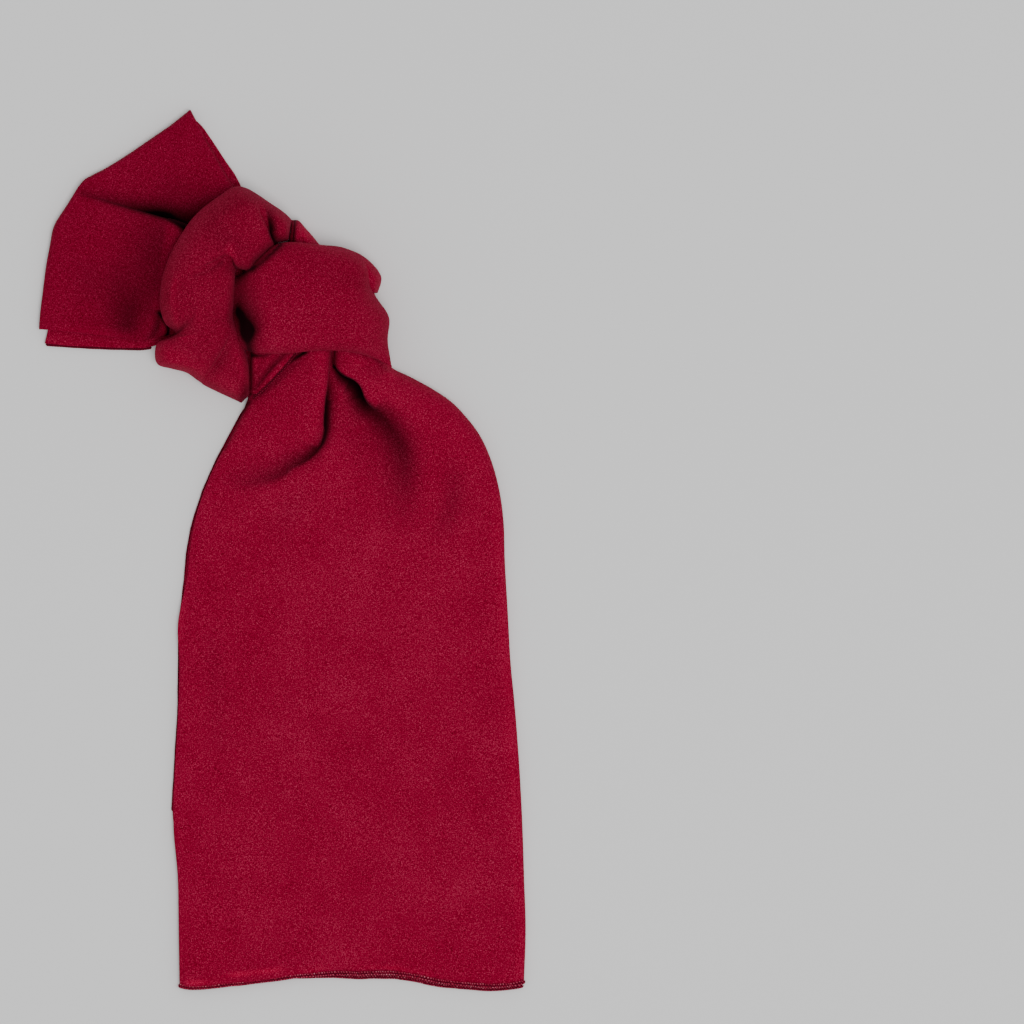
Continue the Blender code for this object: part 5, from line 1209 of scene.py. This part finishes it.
# The layers that are hidden under them and show at their edges.
roof = roof_map([long_shape, inner_shape, wrap_shape, loop_shape])
under_end = end_shift(2, 1.8)
long_under, long_under_shape = hidden_layers(
    "long_tail_layers", LONG_UNDER, 220, 60, roof, crepe_painted_shade_layers, 3, end=under_end)
roof = roof_map([short_shape, loop_shape])
short_under, short_under_shape = hidden_layers(
    "short_tail_layers", SHORT_UNDER, 150, 50, roof, crepe_painted_shade_layers, 3)
roof = roof_map([loop_shape, wrap_shape, short_shape])
loop_core, loop_core_shape = hidden_layers("loop_layers", LOOP_CORE, 120, 24, roof, crepe_painted_shade_layers, 4)
roof = roof_map([loop_shape, wrap_shape, inner_shape])
wrap_core, wrap_core_shape = hidden_layers("wrap_layers", WRAP_CORE, 80, 30, roof, crepe_painted_shade_layers, 4)

# The overlocked hems.
def hem_line(column, radius, height):
    """The middle of a hem whose lower edge is a column of the hem table."""
    x = np.linspace(hem[0, 0], hem[-1, 0], 160)
    return np.stack([x, np.interp(x, hem[:, 0], hem[:, column]) + radius, np.full_like(x, height)], axis=1)


top_line = np.concatenate([[[-68.6, -286.2, 5.6]], hem_line(1, 1.5, 5.4), [[160.6, -283.6, 5.4]]])
end_hem = rope("end_hem", top_line, thread, 1.5)
end_hem_below = rope("end_hem_below", hem_line(2, 1.25, 2.4), thread, 1.25)
side_hem = rope("side_hem", SIDE_HEM, thread_painted_shade, 0.95)
short_hem = rope("short_tail_hem_threads", SHORT_HEM, thread_painted_shade, 1.1)
inner_edge = inner_shape["grid"][:, -1] + (0.4, -0.3, -0.1)
inner_hem = rope("inner_hem", np.concatenate([inner_edge, [[-19.5, 99.5, 8.5]]]), thread_painted_shade, 1.0)

floor = put("floor", [(-6000, -6000, 0), (6000, -6000, 0), (6000, 6000, 0), (-6000, 6000, 0)],
            [(0, 1, 2, 3)], bpy.data.materials.new("pale_floor"), smooth=False)
pale = floor.data.materials[0]
pale.use_nodes = True
pale_shader = next(node for node in pale.node_tree.nodes if node.type == "BSDF_PRINCIPLED")
pale_shader.inputs["Base Color"].default_value = (0.815, 0.815, 0.815, 1)
pale_shader.inputs["Roughness"].default_value = 0.9
pale_shader.inputs["Specular IOR Level"].default_value = 0.1

# Each stretch is a share of one cloth, 0.70 m wide, folded into six layers.
for made, shape, node, slot, ends in (
    (long_top, long_shape, "long_tail_top", "crepe", [end_hem]),
    (inner, inner_shape, "long_tail_inner", "crepe", [inner_hem]),
    (short_top, short_shape, "short_tail_top", "crepe", []),
    (loop, loop_shape, "knot_loop", "crepe", []),
    (wrap, wrap_shape, "knot_wrap", "crepe", []),
    (tuck, tuck_shape, "knot_tuck", "crepe", []),
    (lip, lip_shape, "knot_return", "crepe", []),
    (long_under, long_under_shape, "long_tail_under", "crepe_under", [end_hem_below, side_hem]),
    (short_under, short_under_shape, "short_tail_under", "crepe_under", [short_hem]),
    (loop_core, loop_core_shape, "knot_loop_core", "crepe_under", []),
    (wrap_core, wrap_core_shape, "knot_wrap_core", "crepe_under", []),
):
    dress(made, node)
for made, node in ((end_hem, "long_tail_end_hem"), (end_hem_below, "long_tail_end_hem_under"),
                   (side_hem, "long_tail_side_hem"), (short_hem, "short_tail_hem"),
                   (inner_hem, "long_tail_inner_hem")):
    dress(made, node)

# Soft light from all round: how much comes from a direction grows with how far it leans to the
# right and the near side.
world = bpy.data.worlds.new("studio")
bpy.context.scene.world = world
world.use_nodes = True
sky = next(node for node in world.node_tree.nodes if node.type == "BACKGROUND")
sky_nodes, sky_links = world.node_tree.nodes, world.node_tree.links
around_us = sky_nodes.new("ShaderNodeTexCoord")
lean = sky_nodes.new("ShaderNodeVectorMath")
lean.operation = "DOT_PRODUCT"
lean.inputs[1].default_value = (0.78, -0.52, 0.34)
sky_links.new(around_us.outputs["Generated"], lean.inputs[0])
towards = arithmetic(sky_nodes, sky_links, "MULTIPLY_ADD", lean.outputs["Value"], 0.5)
sky_tones = ((0.12, (0.60, 0.60, 0.60)), (0.55, (0.66, 0.66, 0.66)), (0.95, (0.74, 0.74, 0.74)))
sky_links.new(ramp(sky_nodes, sky_links, towards, sky_tones), sky.inputs["Color"])
sky.inputs["Strength"].default_value = 1.0


def lamp(name, place, size, power):
    """A square soft light that faces the middle of the scarf."""
    made = bpy.data.lights.new(name, "AREA")
    made.shape = "SQUARE"
    made.size = size
    made.energy = power
    holder = bpy.data.objects.new(name, made)
    holder.location = place
    away = np.array(place) / np.linalg.norm(place)
    turn_z = np.arctan2(away[1], away[0]) + np.pi / 2
    holder.rotation_euler = (np.arccos(away[2]), 0, turn_z)
    bpy.context.scene.collection.objects.link(holder)


lamp("key", (0.45, -0.30, 3.0), 1.3, 46)

eye = bpy.data.cameras.new("eye")
eye.sensor_width = 36
eye.lens = 36 * EYE_HEIGHT / EYE_SPAN
eye.clip_end = 60
eye.dof.use_dof = False
camera = bpy.data.objects.new("eye", eye)
camera.location = (0.15172, 0.02546, EYE_HEIGHT)
bpy.context.scene.collection.objects.link(camera)
bpy.context.scene.camera = camera
